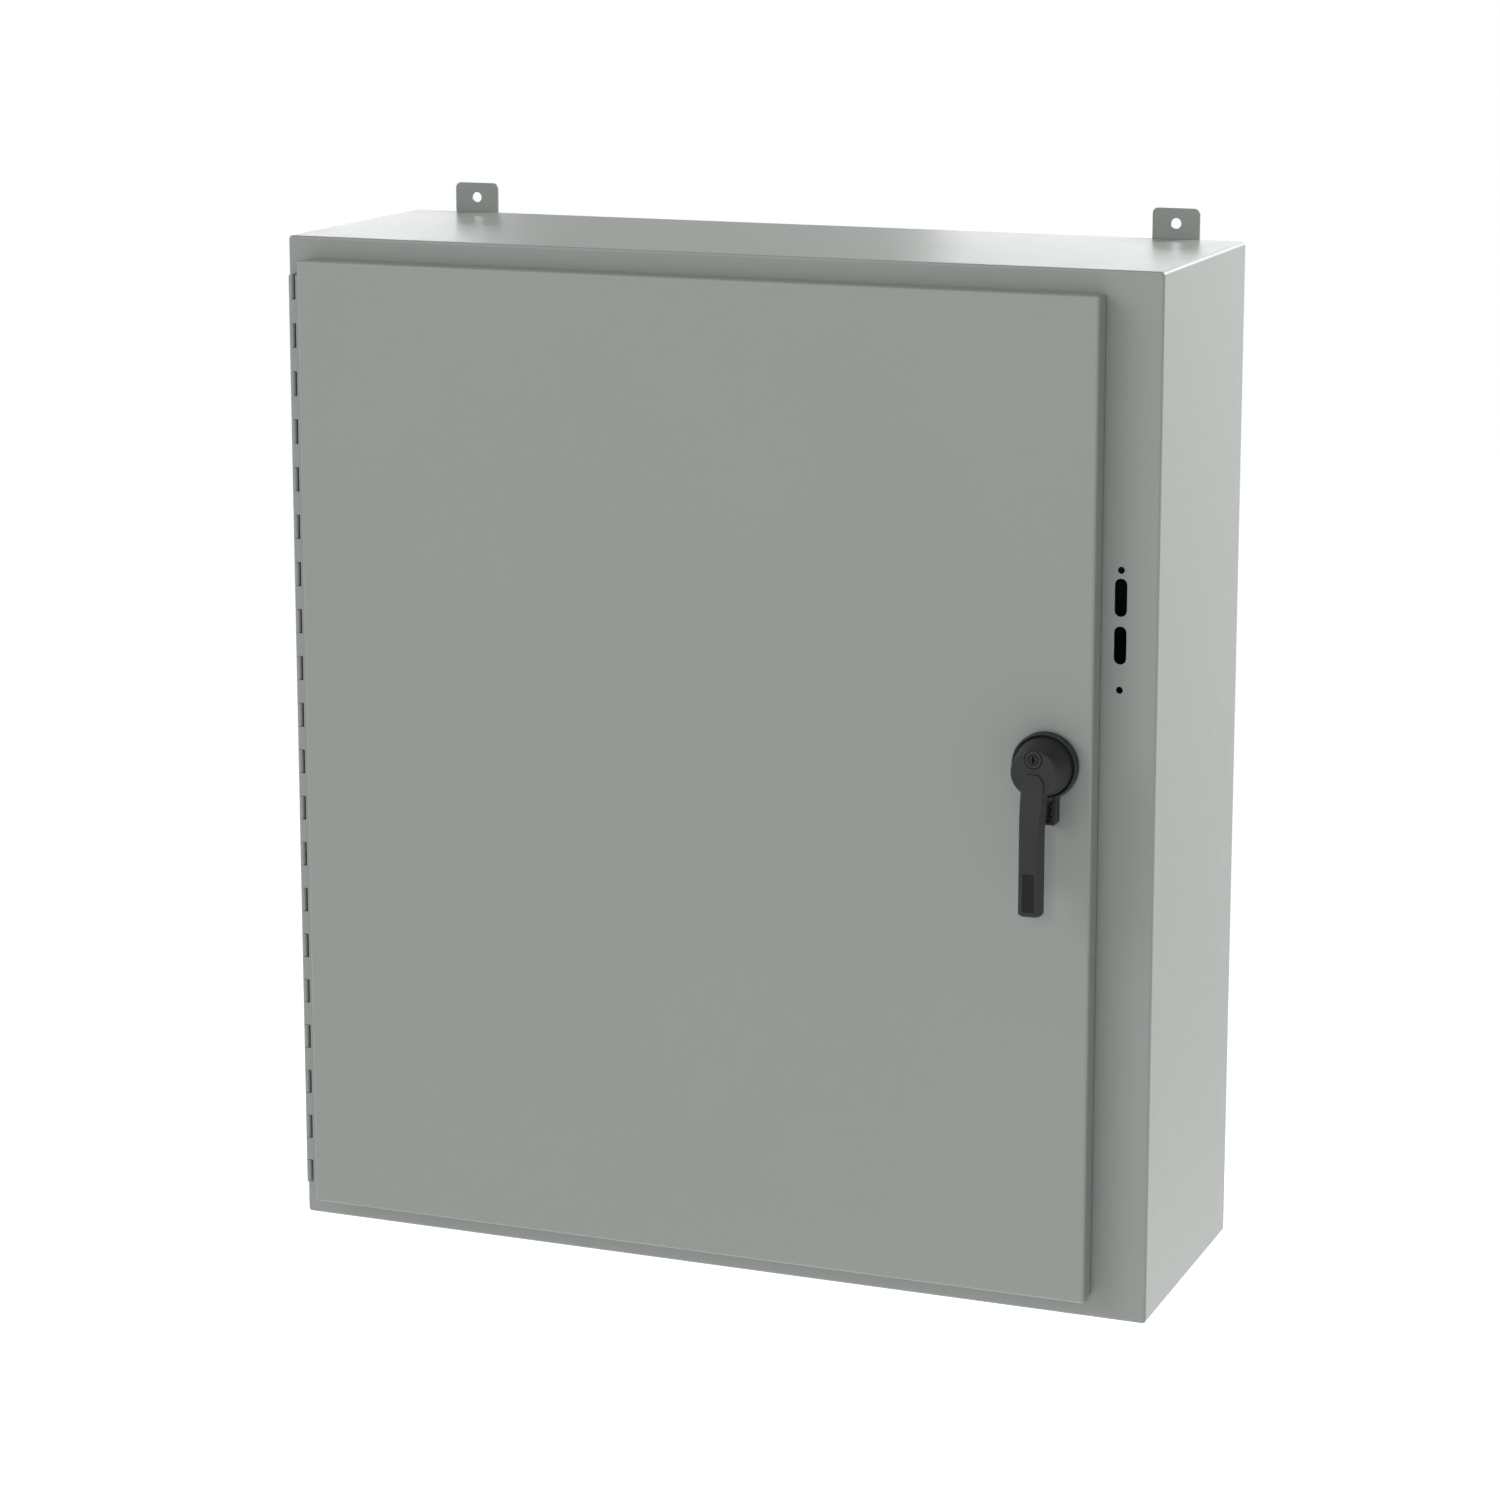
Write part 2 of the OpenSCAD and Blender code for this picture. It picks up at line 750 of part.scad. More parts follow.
module handle_lever() {
    color(black) place() difference() {
        union() {
            translate([hx, hub_y, hz]) rotate([90, 0, 0]) rotate_extrude($fn = 96)
                polygon([[0, 0], [hub_base_r, 0], [hub_base_r, 3], [hub_face_r, hub_y - face_y - 2],
                    [hub_face_r - 2, hub_y - face_y], [0, hub_y - face_y]]);
            intersection() {
                lever_side();
                lever_front();
            }
            box([hx - 3, hub_y - 8, hz - 42], [hx + 1, hub_y - 1, hz - 20]);
        }
        rod_y(shaft_r, hub_y - shaft_grip, hub_y + 1, hx, hz);
        rod_y(lock_r, face_y - 5, face_y + lock_depth, hx, lock_z);
        box([hx - 5.5, lever_y - 1, end_z + 6], [hx + 5.5, lever_y + 0.5, end_z + 46]);
    }
}

module lock_collar() {
    color(black) place() difference() {
        rod_y(lock_r, face_y - 0.6, face_y + lock_depth, hx, lock_z);
        rod_y(plug_r + fit, face_y - 2, face_y + lock_depth - 2, hx, lock_z);
    }
}

module key_plug() {
    front = face_y - 0.9;
    color(lock_grey) place() difference() {
        rod_y(plug_r, front, face_y + lock_depth - 2.4, hx, lock_z);
        box([hx - 0.9, front - 1, lock_z - 3.6], [hx + 0.9, front + 6, lock_z + 3.6]);
    }
}

// The shaft's square end, which turns the cam
module shaft_square(y0, y1) {
    half = square_w / 2;
    box([hx - half, y0, hz - half], [hx + half, y1, hz + half]);
}

module handle_shaft() {
    color(zinc) place() {
        rod_y(shaft_r, hub_y - shaft_grip, cam_y, hx, hz);
        shaft_square(cam_y, cam_y + cam_t);
    }
}

module shaft_clip() {
    y = boss_y + 0.4;
    color(zinc) place() difference() {
        rod_y(shaft_r + 4, y, y + 1.2, hx, hz);
        rod_y(shaft_r, y - 1, y + 2, hx, hz);
    }
}

// End of the cam's arm, just behind its roller, and how deep the axle sits in it
cam_arm_x = cam_tip_x - cam_roller_l - 1.2;
axle_depth = 8;
cam_arm_w = 14;
cam_hub_r = 16;
crank_w = 16;

module latch_cam() {
    back = cam_y + cam_t;
    color(zinc) place() difference() {
        union() {
            rod_y(cam_hub_r, cam_y, back, hx, hz);
            box([hx - crank_w / 2, cam_y, hz - crank_r], [hx + crank_w / 2, back, hz + crank_r]);
            for (s = [-1, 1]) rod_y(crank_w / 2, cam_y, back, hx, hz + s * crank_r);
            box([hx, cam_y, hz - cam_arm_w / 2], [cam_arm_x, back, hz + cam_arm_w / 2]);
        }
        shaft_square(cam_y - 1, back + 1);
        for (s = [-1, 1]) rod_y(crank_pin_r, cam_y - 1, back + 1, hx, hz + s * crank_r);
        rod_x(axle_r, cam_arm_x - axle_depth, cam_arm_x + 1, cam_y + cam_t / 2, hz);
    }
}

cam_screw_r = 3;
cam_screw_w = 10;
cam_screw_head = 4;
cam_washer_r = 9;
cam_washer_t = 1.4;

module cam_washer() {
    y = cam_y + cam_t;
    color(zinc) place() difference() {
        rod_y(cam_washer_r, y, y + cam_washer_t, hx, hz);
        rod_y(cam_screw_r, y - 1, y + cam_washer_t + 1, hx, hz);
    }
}

module cam_screw() {
    y = cam_y + cam_t;
    color(zinc) place() {
        rod_y(cam_screw_r, y, y + cam_washer_t, hx, hz);
        translate([hx, y + cam_washer_t + cam_screw_head, hz]) rotate([90, 0, 0])
            cylinder(r = cam_screw_w / sqrt(3), h = cam_screw_head, $fn = 6);
    }
}

module rod_pivots() {
    head_y = rod_y + rod_t + 0.3;
    head_r = 5.5;
    head_t = 1.6;
    color(zinc) place() for (s = [-1, 1]) {
        rod_y(crank_pin_r, cam_y, head_y, hx, hz + s * crank_r);
        rod_y(head_r, head_y, head_y + head_t, hx, hz + s * crank_r);
    }
}

module cam_roller_axle() {
    color(zinc) place() rod_x(axle_r, cam_arm_x - axle_depth, cam_tip_x, cam_y + cam_t / 2, hz);
}

module cam_roller() {
    x0 = cam_tip_x - cam_roller_l - 0.4;
    color(white) place() difference() {
        rod_x(cam_roller_r, x0, x0 + cam_roller_l, cam_y + cam_t / 2, hz);
        rod_x(axle_r + fit, x0 - 1, x0 + cam_roller_l + 1, cam_y + cam_t / 2, hz);
    }
}

// Height of the roller's axle on a rod whose end is at z = l
function axle_z(l) = l - rod_roller_r - 0.5;

// A latch rod along +z from its pivot at z = 0, with its end at z = l and two cheeks there
module latch_rod(l) {
    w = rod_w / 2;
    slot = cheek_gap / 2;
    eye_r = 8;
    cheek_l = 14;
    difference() {
        union() {
            rod_y(eye_r, rod_y, rod_y + rod_t, 0, 0);
            box([-w, rod_y, 0], [w, rod_y + rod_t, l]);
            box([-w, rod_roller_y - 4, l - cheek_l], [w, rod_y + rod_t, l]);
        }
        rod_y(crank_pin_r + fit, rod_y - 1, rod_y + rod_t + 1, 0, 0);
        box([-slot, rod_roller_y - 10, l - cheek_l + 0.5], [slot, rod_y + 10, l + 1]);
        rod_x(axle_r, -w - 1, w + 1, rod_roller_y, axle_z(l));
    }
}

// Axle and roller at the end of a latch rod of length l
module rod_axle(l) {
    rod_x(axle_r, -rod_w / 2, rod_w / 2, rod_roller_y, axle_z(l));
}

module rod_roller(l) {
    half = rod_roller_l / 2;
    difference() {
        rod_x(rod_roller_r, -half, half, rod_roller_y, axle_z(l));
        rod_x(axle_r + fit, -half - 1, half + 1, rod_roller_y, axle_z(l));
    }
}

upper_l = rod_top - hz - crank_r;
lower_l = hz - crank_r - rod_bottom;

// Puts a piece of the upper rod on its pivot
module at_upper() {
    translate([hx, 0, hz + crank_r]) children();
}

// Puts a piece of the lower rod on its pivot, turned over
module at_lower() {
    translate([hx, 0, hz - crank_r]) mirror([0, 0, 1]) children();
}

module upper_rod() {
    color(zinc) place() at_upper() latch_rod(upper_l);
}

module upper_roller_axle() {
    color(zinc) place() at_upper() rod_axle(upper_l);
}

module upper_roller() {
    color(white) place() at_upper() rod_roller(upper_l);
}

module lower_rod() {
    color(zinc) place() at_lower() latch_rod(lower_l);
}

module lower_roller_axle() {
    color(zinc) place() at_lower() rod_axle(lower_l);
}

module lower_roller() {
    color(white) place() at_lower() rod_roller(lower_l);
}

left_wall();
right_wall();
top_wall();
bottom_wall();
back_wall();
mounting_tabs();
hinge_body_leaf();
hinge_pin();
back_panel();
panel_studs();
panel_washers();
panel_nuts();
cabinet_ground_stud();
cabinet_ground_nut();
door_panel();
door_stiffeners();
door_gasket();
hinge_door_leaf();
document_pocket();
pocket_rivets();
handle_escutcheon();
escutcheon_seal();
escutcheon_screws();
shaft_bushing();
rod_guides();
door_ground_stud();
door_ground_nut();
handle_lever();
lock_collar();
handle_shaft();
shaft_clip();
latch_cam();
cam_screw();
cam_washer();
rod_pivots();
cam_roller_axle();
key_plug();
cam_roller();
upper_rod();
upper_roller_axle();
upper_roller();
lower_rod();
lower_roller_axle();
lower_roller();
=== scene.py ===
"""Looks of the wall-mount steel cabinet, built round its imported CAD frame."""

import json
import math

import bmesh
import bpy
from mathutils import Matrix, Vector

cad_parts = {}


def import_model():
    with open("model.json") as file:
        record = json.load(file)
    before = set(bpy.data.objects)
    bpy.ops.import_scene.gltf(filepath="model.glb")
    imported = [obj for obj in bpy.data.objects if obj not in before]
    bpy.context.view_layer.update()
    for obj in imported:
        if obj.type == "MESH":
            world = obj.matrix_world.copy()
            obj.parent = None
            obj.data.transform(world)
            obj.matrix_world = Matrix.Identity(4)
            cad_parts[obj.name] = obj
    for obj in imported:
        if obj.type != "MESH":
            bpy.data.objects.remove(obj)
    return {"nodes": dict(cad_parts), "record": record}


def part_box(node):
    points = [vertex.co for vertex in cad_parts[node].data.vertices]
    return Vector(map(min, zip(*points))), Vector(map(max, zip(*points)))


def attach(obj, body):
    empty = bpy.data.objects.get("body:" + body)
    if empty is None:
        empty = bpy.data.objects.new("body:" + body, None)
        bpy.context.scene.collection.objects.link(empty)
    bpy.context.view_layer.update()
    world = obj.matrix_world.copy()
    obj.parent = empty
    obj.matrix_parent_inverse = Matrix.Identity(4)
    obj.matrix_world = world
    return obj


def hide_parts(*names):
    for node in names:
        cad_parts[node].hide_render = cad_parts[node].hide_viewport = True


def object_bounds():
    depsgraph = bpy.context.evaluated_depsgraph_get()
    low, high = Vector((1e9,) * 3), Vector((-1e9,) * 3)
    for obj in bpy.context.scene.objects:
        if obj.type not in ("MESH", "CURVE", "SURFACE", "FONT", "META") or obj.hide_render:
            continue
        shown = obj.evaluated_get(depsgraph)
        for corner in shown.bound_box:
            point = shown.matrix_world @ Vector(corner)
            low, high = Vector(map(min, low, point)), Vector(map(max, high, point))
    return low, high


MM = 0.001
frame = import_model()
cad_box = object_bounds()

# Sheet metal
SHEET = 1.9 * MM
BEND = 3.2 * MM
BACK_BEND = 2.5 * MM
CORNER = 4 * MM
COLLAR_CORNER = 1.5 * MM
LEAST_CORNER = 0.2 * MM
LIP = 2.5 * MM
DOOR_BEND = 3 * MM
SHEET_EDGE = 0.35 * MM
ARC_STEPS = 6

# A length too small to see: for corners that stay sharp, holes that stay round, points to weld
SHARP = 0.01 * MM

# The part of a noise texture's range that holds most of its values
NOISE_MIDDLE = (0.3, 0.7)

# Colours, linear
GREY = (0.193, 0.210, 0.196)
WHITE = (0.80, 0.80, 0.78)
BLACK = (0.0135, 0.0155, 0.0135)
ZINC = (0.62, 0.62, 0.59)
DARK_METAL = (0.03, 0.03, 0.03)
RUBBER = (0.008, 0.008, 0.008)
FOAM = (0.045, 0.045, 0.045)
NYLON = (0.74, 0.73, 0.66)
POCKET = (0.035, 0.036, 0.040)


# ---------------------------------------------------------------- materials

def shader(name):
    """A new material and its node tree's parts."""
    mat = bpy.data.materials.new(name)
    mat.use_nodes = True
    tree = mat.node_tree
    bsdf = tree.nodes["Principled BSDF"]
    coords = tree.nodes.new("ShaderNodeTexCoord").outputs["Object"]
    return mat, tree, bsdf, coords


def noise(tree, coords, scale, detail, stretch=None):
    """A noise texture in object space; scale is in features per metre."""
    node = tree.nodes.new("ShaderNodeTexNoise")
    node.inputs["Scale"].default_value = scale
    node.inputs["Detail"].default_value = detail
    if stretch:
        mapping = tree.nodes.new("ShaderNodeMapping")
        mapping.inputs["Scale"].default_value = stretch
        tree.links.new(coords, mapping.inputs["Vector"])
        coords = mapping.outputs["Vector"]
    tree.links.new(coords, node.inputs["Vector"])
    return node.outputs["Fac"]


def spread(tree, value, low, high):
    """Maps the middle of a noise to the range low to high."""
    node = tree.nodes.new("ShaderNodeMapRange")
    node.inputs["From Min"].default_value = NOISE_MIDDLE[0]
    node.inputs["From Max"].default_value = NOISE_MIDDLE[1]
    node.inputs["To Min"].default_value = low
    node.inputs["To Max"].default_value = high
    tree.links.new(value, node.inputs["Value"])
    return node.outputs["Result"]


def mixed(tree, factor, first, second):
    """A colour that runs from first to second with factor."""
    node = tree.nodes.new("ShaderNodeMix")
    node.data_type = "RGBA"
    node.inputs["A"].default_value = (*first, 1)
    node.inputs["B"].default_value = (*second, 1)
    tree.links.new(factor, node.inputs["Factor"])
    return node.outputs["Result"]


def bumped(tree, bsdf, layers):
    """Chains bump maps: layers are (height output, strength, distance in metres)."""
    normal = None
    for height, strength, distance in layers:
        node = tree.nodes.new("ShaderNodeBump")
        node.inputs["Strength"].default_value = strength
        node.inputs["Distance"].default_value = distance
        tree.links.new(height, node.inputs["Height"])
        if normal:
            tree.links.new(normal, node.inputs["Normal"])
        normal = node.outputs["Normal"]
    tree.links.new(normal, bsdf.inputs["Normal"])


def tint(colour, factor):
    """The colour made darker or lighter."""
    return tuple(min(1.0, c * factor) for c in colour)


def coating(name, colour, rough, peel, depth, mottle, specular=0.5):
    """Sprayed or powder paint: a fine orange peel, and faint changes of tone and gloss."""
    mat, tree, bsdf, coords = shader(name)
    bsdf.inputs["Specular IOR Level"].default_value = specular
    broad = noise(tree, coords, scale=5, detail=3)
    fine = noise(tree, coords, scale=1 / peel, detail=2)
    tone = mixed(tree, spread(tree, broad, 0, 1), tint(colour, 1 - mottle), tint(colour, 1 + mottle))
    tree.links.new(tone, bsdf.inputs["Base Color"])
    gloss_change = 0.012
    patches = noise(tree, coords, scale=40, detail=4)
    gloss = spread(tree, patches, rough - gloss_change, rough + gloss_change)
    tree.links.new(gloss, bsdf.inputs["Roughness"])
    waves = noise(tree, coords, scale=0.25 / peel, detail=1)
    bumped(tree, bsdf, [(fine, 0.35, depth), (waves, 0.2, depth * 2)])
    return mat


def plated(name, colour, rough, stretch):
    """Bare or plated metal with fine drawing lines and a cloudy tone."""
    mat, tree, bsdf, coords = shader(name)
    bsdf.inputs["Metallic"].default_value = 1.0
    dark, light = 0.86, 1.06
    smoother, rougher = 0.08, 0.1
    cloud = noise(tree, coords, scale=60, detail=4)
    lines = noise(tree, coords, scale=900, detail=3, stretch=stretch)
    tone = mixed(tree, spread(tree, cloud, 0, 1), tint(colour, dark), tint(colour, light))
    tree.links.new(tone, bsdf.inputs["Base Color"])
    tree.links.new(spread(tree, lines, rough - smoother, rough + rougher), bsdf.inputs["Roughness"])
    bumped(tree, bsdf, [(lines, 0.2, 0.04 * MM)])
    return mat


def moulded(name, colour, rough, grain, depth, soft=0.0, specular=0.5):
    """Moulded plastic or rubber with a fine grain."""
    mat, tree, bsdf, coords = shader(name)
    bsdf.inputs["Specular IOR Level"].default_value = specular
    bsdf.inputs["Subsurface Weight"].default_value = soft
    bsdf.inputs["Subsurface Scale"].default_value = 2 * MM
    dark, light = 0.93, 1.07
    gloss_change = 0.05
    fine = noise(tree, coords, scale=1 / grain, detail=3)
    cloud = spread(tree, noise(tree, coords, scale=30, detail=3), 0, 1)
    tree.links.new(mixed(tree, cloud, tint(colour, dark), tint(colour, light)), bsdf.inputs["Base Color"])
    tree.links.new(spread(tree, fine, rough - gloss_change, rough + gloss_change), bsdf.inputs["Roughness"])
    bumped(tree, bsdf, [(fine, 0.4, depth)])
    return mat


def foam(name, colour):
    """Poured foam: a matt skin with small open pores, darkened towards their middles as painted shade."""
    mat, tree, bsdf, coords = shader(name)
    dark, light = 0.6, 1.2
    pores = tree.nodes.new("ShaderNodeTexVoronoi")
    pores.inputs["Scale"].default_value = 900
    tree.links.new(coords, pores.inputs["Vector"])
    holes = pores.outputs["Distance"]
    # The tone darkens towards each pore's middle, where the bump sinks it: painted shade in the pits
    tone = spread(tree, holes, 0, 1)
    tree.links.new(mixed(tree, tone, tint(colour, dark), tint(colour, light)), bsdf.inputs["Base Color"])
    bsdf.inputs["Roughness"].default_value = 0.9
    waves = noise(tree, coords, scale=120, detail=2)
    bumped(tree, bsdf, [(holes, 0.6, 0.4 * MM), (waves, 0.4, 0.6 * MM)])
    return mat


MATERIALS = {
    "cabinet_paint": coating("cabinet_paint", GREY, rough=0.36, peel=1.2 * MM, depth=0.04 * MM, mottle=0.006),
    "panel_paint": coating("panel_paint", WHITE, rough=0.34, peel=1.4 * MM, depth=0.05 * MM, mottle=0.015),
    "zinc_plate": plated("zinc_plate", ZINC, rough=0.33, stretch=(1, 1, 0.06)),
    "handle_coat": coating("handle_coat", BLACK, rough=0.47, peel=0.6 * MM, depth=0.04 * MM, mottle=0.06,
                           specular=0.27),
    "lock_metal": plated("lock_metal", DARK_METAL, rough=0.4, stretch=(1, 0.1, 1)),
    "seal_rubber": moulded("seal_rubber", RUBBER, rough=0.6, grain=0.8 * MM, depth=0.06 * MM, specular=0.15),
    "gasket_foam": foam("gasket_foam", FOAM),
    "nylon": moulded("nylon", NYLON, rough=0.42, grain=1.5 * MM, depth=0.04 * MM, soft=0.15),
    "pocket_plastic": moulded("pocket_plastic", POCKET, rough=0.42, grain=1.1 * MM, depth=0.08 * MM),
}


# ---------------------------------------------------------------- mesh tools

def new_object(name, bm, smooth=True):
    """An object from a bmesh, with outward normals."""
    bmesh.ops.recalc_face_normals(bm, faces=bm.faces)
    mesh = bpy.data.meshes.new(name)
    bm.to_mesh(mesh)
    bm.free()
    if smooth:
        mesh.shade_smooth()
    obj = bpy.data.objects.new(name, mesh)
    bpy.context.scene.collection.objects.link(obj)
    return obj


def modifier(obj, kind, **values):
    """Adds a modifier with the given settings."""
    mod = obj.modifiers.new(kind.lower(), kind)
    for key, value in values.items():
        setattr(mod, key, value)


def applied(obj):
    """Replaces the object's mesh by what its modifiers make of it."""
    graph = bpy.context.evaluated_depsgraph_get()
    mesh = bpy.data.meshes.new_from_object(obj.evaluated_get(graph))
    obj.modifiers.clear()
    obj.data = mesh
    return obj


def cut(obj, *cutters):
    """Cuts the cutters out of obj and removes them."""
    for c in cutters:
        modifier(obj, "BOOLEAN", operation="DIFFERENCE", object=c, solver="EXACT")
    applied(obj)
    for c in cutters:
        bpy.data.objects.remove(c)
    return obj


def soften(obj, width, angle=30):
    """Rounds every edge sharper than angle by width, and keeps the flats looking flat."""
    modifier(obj, "BEVEL", width=width, segments=2, limit_method="ANGLE",
             angle_limit=math.radians(angle), use_clamp_overlap=False, miter_outer="MITER_ARC")
    modifier(obj, "WEIGHTED_NORMAL", weight=60, keep_sharp=False)
    return obj


def dress(obj, slot, body, *replaced):
    """Gives obj its material and body, and hides the CAD nodes it stands for, if any."""
    obj.data.materials.clear()
    obj.data.materials.append(MATERIALS[slot])
    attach(obj, body)
    if replaced:
        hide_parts(*replaced)


def rounded_loop(x0, x1, z0, z1, radius, y, steps=ARC_STEPS):
    """Points of a rectangle with round corners in the plane at y."""
    corners = [(x1 - radius, z1 - radius, 0), (x0 + radius, z1 - radius, 90),
               (x0 + radius, z0 + radius, 180), (x1 - radius, z0 + radius, 270)]
    points = []
    for cx, cz, start in corners:
        for i in range(steps + 1):
            a = math.radians(start + 90 * i / steps)
            points.append(Vector((cx + radius * math.cos(a), y, cz + radius * math.sin(a))))
    return points


def loft(name, loops, ring=False):
    """A skin through loops of equal length, closed by flat ends, or into a ring."""
    bm = bmesh.new()
    rings = [[bm.verts.new(p) for p in loop] for loop in loops]
    count = len(rings[0])
    for a, b in zip(rings, rings[1:] + rings[:1] if ring else rings[1:]):
        for i in range(count):
            j = (i + 1) % count
            bm.faces.new((a[i], a[j], b[j], b[i]))
    if not ring:
        bm.faces.new(rings[0])
        bm.faces.new(rings[-1])
    return new_object(name, bm)


def fillet(points, radius, steps=5):
    """An open path of 2-D points whose inner corners are rounded by arcs."""
    path = [Vector(points[0])]
    for before, corner, after in zip(points, points[1:], points[2:]):
        corner = Vector(corner)
        back, ahead = Vector(before) - corner, Vector(after) - corner
        half = back.angle(ahead) / 2
        reach = min(radius / math.tan(half), back.length / 2, ahead.length / 2)
        start, end = corner + back.normalized() * reach, corner + ahead.normalized() * reach
        middle = corner + (back.normalized() + ahead.normalized()).normalized() * (reach / math.cos(half))
        turn = math.pi - 2 * half
        if turn < 0.001:
            path.append(corner)
            continue
        for i in range(steps + 1):
            t = i / steps
            path.append(middle + (start - middle) * (math.sin((1 - t) * turn) / math.sin(turn))
                        + (end - middle) * (math.sin(t * turn) / math.sin(turn)))
    return path + [Vector(points[-1])]


def folded(name, points, thickness, radius, z0, z1):
    """Sheet bent along a path of (x, y) corners, standing from z0 to z1."""
    path = fillet(points, radius)
    near, far = [], []
    for i, p in enumerate(path):
        ahead = path[min(i + 1, len(path) - 1)] - path[max(i - 1, 0)]
        side = Vector((-ahead.y, ahead.x)).normalized() * (thickness / 2)
        near.append(p + side)
        far.append(p - side)
    outline = near + far[::-1]
    return loft(name, [[Vector((p.x, p.y, z)) for p in outline] for z in (z0, z1)])


def joined(name, objects):
    """One object from several, which are removed."""
    bm = bmesh.new()
    for obj in objects:
        bm.from_mesh(obj.data)
        bpy.data.objects.remove(obj)
    return new_object(name, bm)


def placed(obj, origin, direction):
    """Turns a mesh built along +Z to the direction, and moves it to origin."""
    turn = Vector(direction).to_track_quat("Z", "Y").to_matrix().to_4x4()
    obj.data.transform(Matrix.Translation(origin) @ turn)
    return obj


def fused(name, objects, voxel, smooth, keep):
    """One cast body from overlapping solids, with small fillets where they meet."""
    obj = joined(name, objects)
    modifier(obj, "REMESH", mode="VOXEL", voxel_size=voxel)
    modifier(obj, "SMOOTH", factor=0.5, iterations=smooth)
    modifier(obj, "DECIMATE", ratio=keep)
    applied(obj)
    obj.data.shade_smooth()
    return obj


def refine(node, width):
    """Rounds the hard edges of a CAD node's own mesh with modifiers."""
    obj = frame["nodes"][node]
    modifier(obj, "WELD", merge_threshold=SHARP)
    modifier(obj, "DECIMATE", decimate_type="DISSOLVE", angle_limit=math.radians(0.5))
    soften(obj, width, angle=40)


def lathe(name, profile, centre, steps):
    """Turns (radius, y) points about the y axis through centre = (x, z).

    A radius of 0 closes an end. With both ends open, the last ring is joined to the first.
    """
    bm = bmesh.new()
    rings = []
    for radius, y in profile:
        if radius == 0:
            rings.append([bm.verts.new((centre[0], y, centre[1]))])
            continue
        rings.append([bm.verts.new((centre[0] + radius * math.cos(2 * math.pi * i / steps), y,
                                    centre[1] + radius * math.sin(2 * math.pi * i / steps)))
                      for i in range(steps)])
    for a, b in zip(rings, rings[1:]):
        for i in range(steps):
            j = (i + 1) % steps
            if len(a) == 1:
                bm.faces.new((a[0], b[j], b[i]))
            elif len(b) == 1:
                bm.faces.new((a[i], a[j], b[0]))
            else:
                bm.faces.new((a[i], a[j], b[j], b[i]))
    if len(rings[0]) > 1 and len(rings[-1]) > 1:
        for i in range(steps):
            j = (i + 1) % steps
            bm.faces.new((rings[-1][i], rings[-1][j], rings[0][j], rings[0][i]))
    return new_object(name, bm)


def drill(radius, front, back, centre, steps=32):
    """A round rod along y, to cut a hole with."""
    return lathe("drill", [(0, front), (radius, front), (radius, back), (0, back)], centre, steps)


def block(name, low, high):
    """A plain box between two corners."""
    bm = bmesh.new()
    bmesh.ops.create_cube(bm, size=1)
    low, high = Vector(low), Vector(high)
    size = high - low
    shape = Matrix.Translation((low + high) / 2) @ Matrix.Diagonal((*size, 1))
    bmesh.ops.transform(bm, matrix=shape, verts=bm.verts)
    return new_object(name, bm, smooth=False)


def slab(name, outline, radius, front, back):
    """A flat block between two y planes, over a rectangle (x0, x1, z0, z1) with round corners."""
    return loft(name, [rounded_loop(*outline, radius, y) for y in (front, back)])


def arc(cx, cy, radius, start, end):
    """(x, y) points of an arc, angles in degrees."""
    points = []
    for i in range(ARC_STEPS + 1):
        a = math.radians(start + (end - start) * i / ARC_STEPS)
        points.append((cx + radius * math.cos(a), cy + radius * math.sin(a)))
    return points


# ---------------------------------------------------------------- cabinet shell

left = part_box("left_wall")
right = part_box("right_wall")
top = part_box("top_wall")
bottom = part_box("bottom_wall")
BACK_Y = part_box("back_wall")[1].y
FRONT_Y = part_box("hinge_body_leaf")[1].y
COLLAR_Y = left[0].y
BODY = (left[0].x, right[1].x, bottom[0].z, top[1].z)
OPENING = (left[1].x, right[0].x, bottom[1].z, top[0].z)


def inset_loop(outline, inset, radius, y):
    """The outline's loop, drawn in by inset."""
    x0, x1, z0, z1 = outline
    return rounded_loop(x0 + inset, x1 - inset, z0 + inset, z1 - inset, max(radius, LEAST_CORNER), y)


def folded_pan(name, box, sheet, bend):
    """A sheet whose four edges are bent back, filling the box."""
    low, high = box
    outline = (low.x, high.x, low.z, high.z)
    inner = bend - sheet
    loops = [inset_loop(outline, cx, bend - cx, low.y + cy) for cx, cy in arc(bend, bend, bend, 270, 180)]
    loops.append(inset_loop(outline, 0, bend, high.y))
    loops.append(inset_loop(outline, sheet, inner, high.y))
    loops += [inset_loop(outline, cx, bend - cx, low.y + cy) for cx, cy in arc(bend, bend, inner, 180, 270)]
    return loft(name, loops)


def cabinet_shell():
    """Walls, flange, collar, lip and back as one folded and welded shell."""
    loops = []
    for cx, cy in arc(BACK_BEND, -BACK_BEND, BACK_BEND, 90, 180):
        loops.append(inset_loop(BODY, cx, CORNER - cx, BACK_Y + cy))
    for cx, cy in arc(BEND, BEND, BEND, 180, 270):
        loops.append(inset_loop(BODY, cx, CORNER - cx, FRONT_Y + cy))
    lip_front = COLLAR_Y - FRONT_Y
    lip_back = COLLAR_Y + SHEET - FRONT_Y
    lip_edge = -SHEET - LIP
    ring = [(-SHEET, 0), (-SHEET, lip_back), (lip_edge, lip_back), (lip_edge, lip_front), (0, lip_front),
            (0, SHEET)]
    for inset, y in ring:
        loops.append(inset_loop(OPENING, inset, COLLAR_CORNER - inset, FRONT_Y + y))
    for cx, cy in arc(BEND, BEND, BEND - SHEET, 270, 180):
        loops.append(inset_loop(BODY, cx, CORNER - cx, FRONT_Y + cy))
    loops.append(inset_loop(BODY, SHEET, CORNER - SHEET, BACK_Y - SHEET))
    return loft("cabinet_shell", loops)


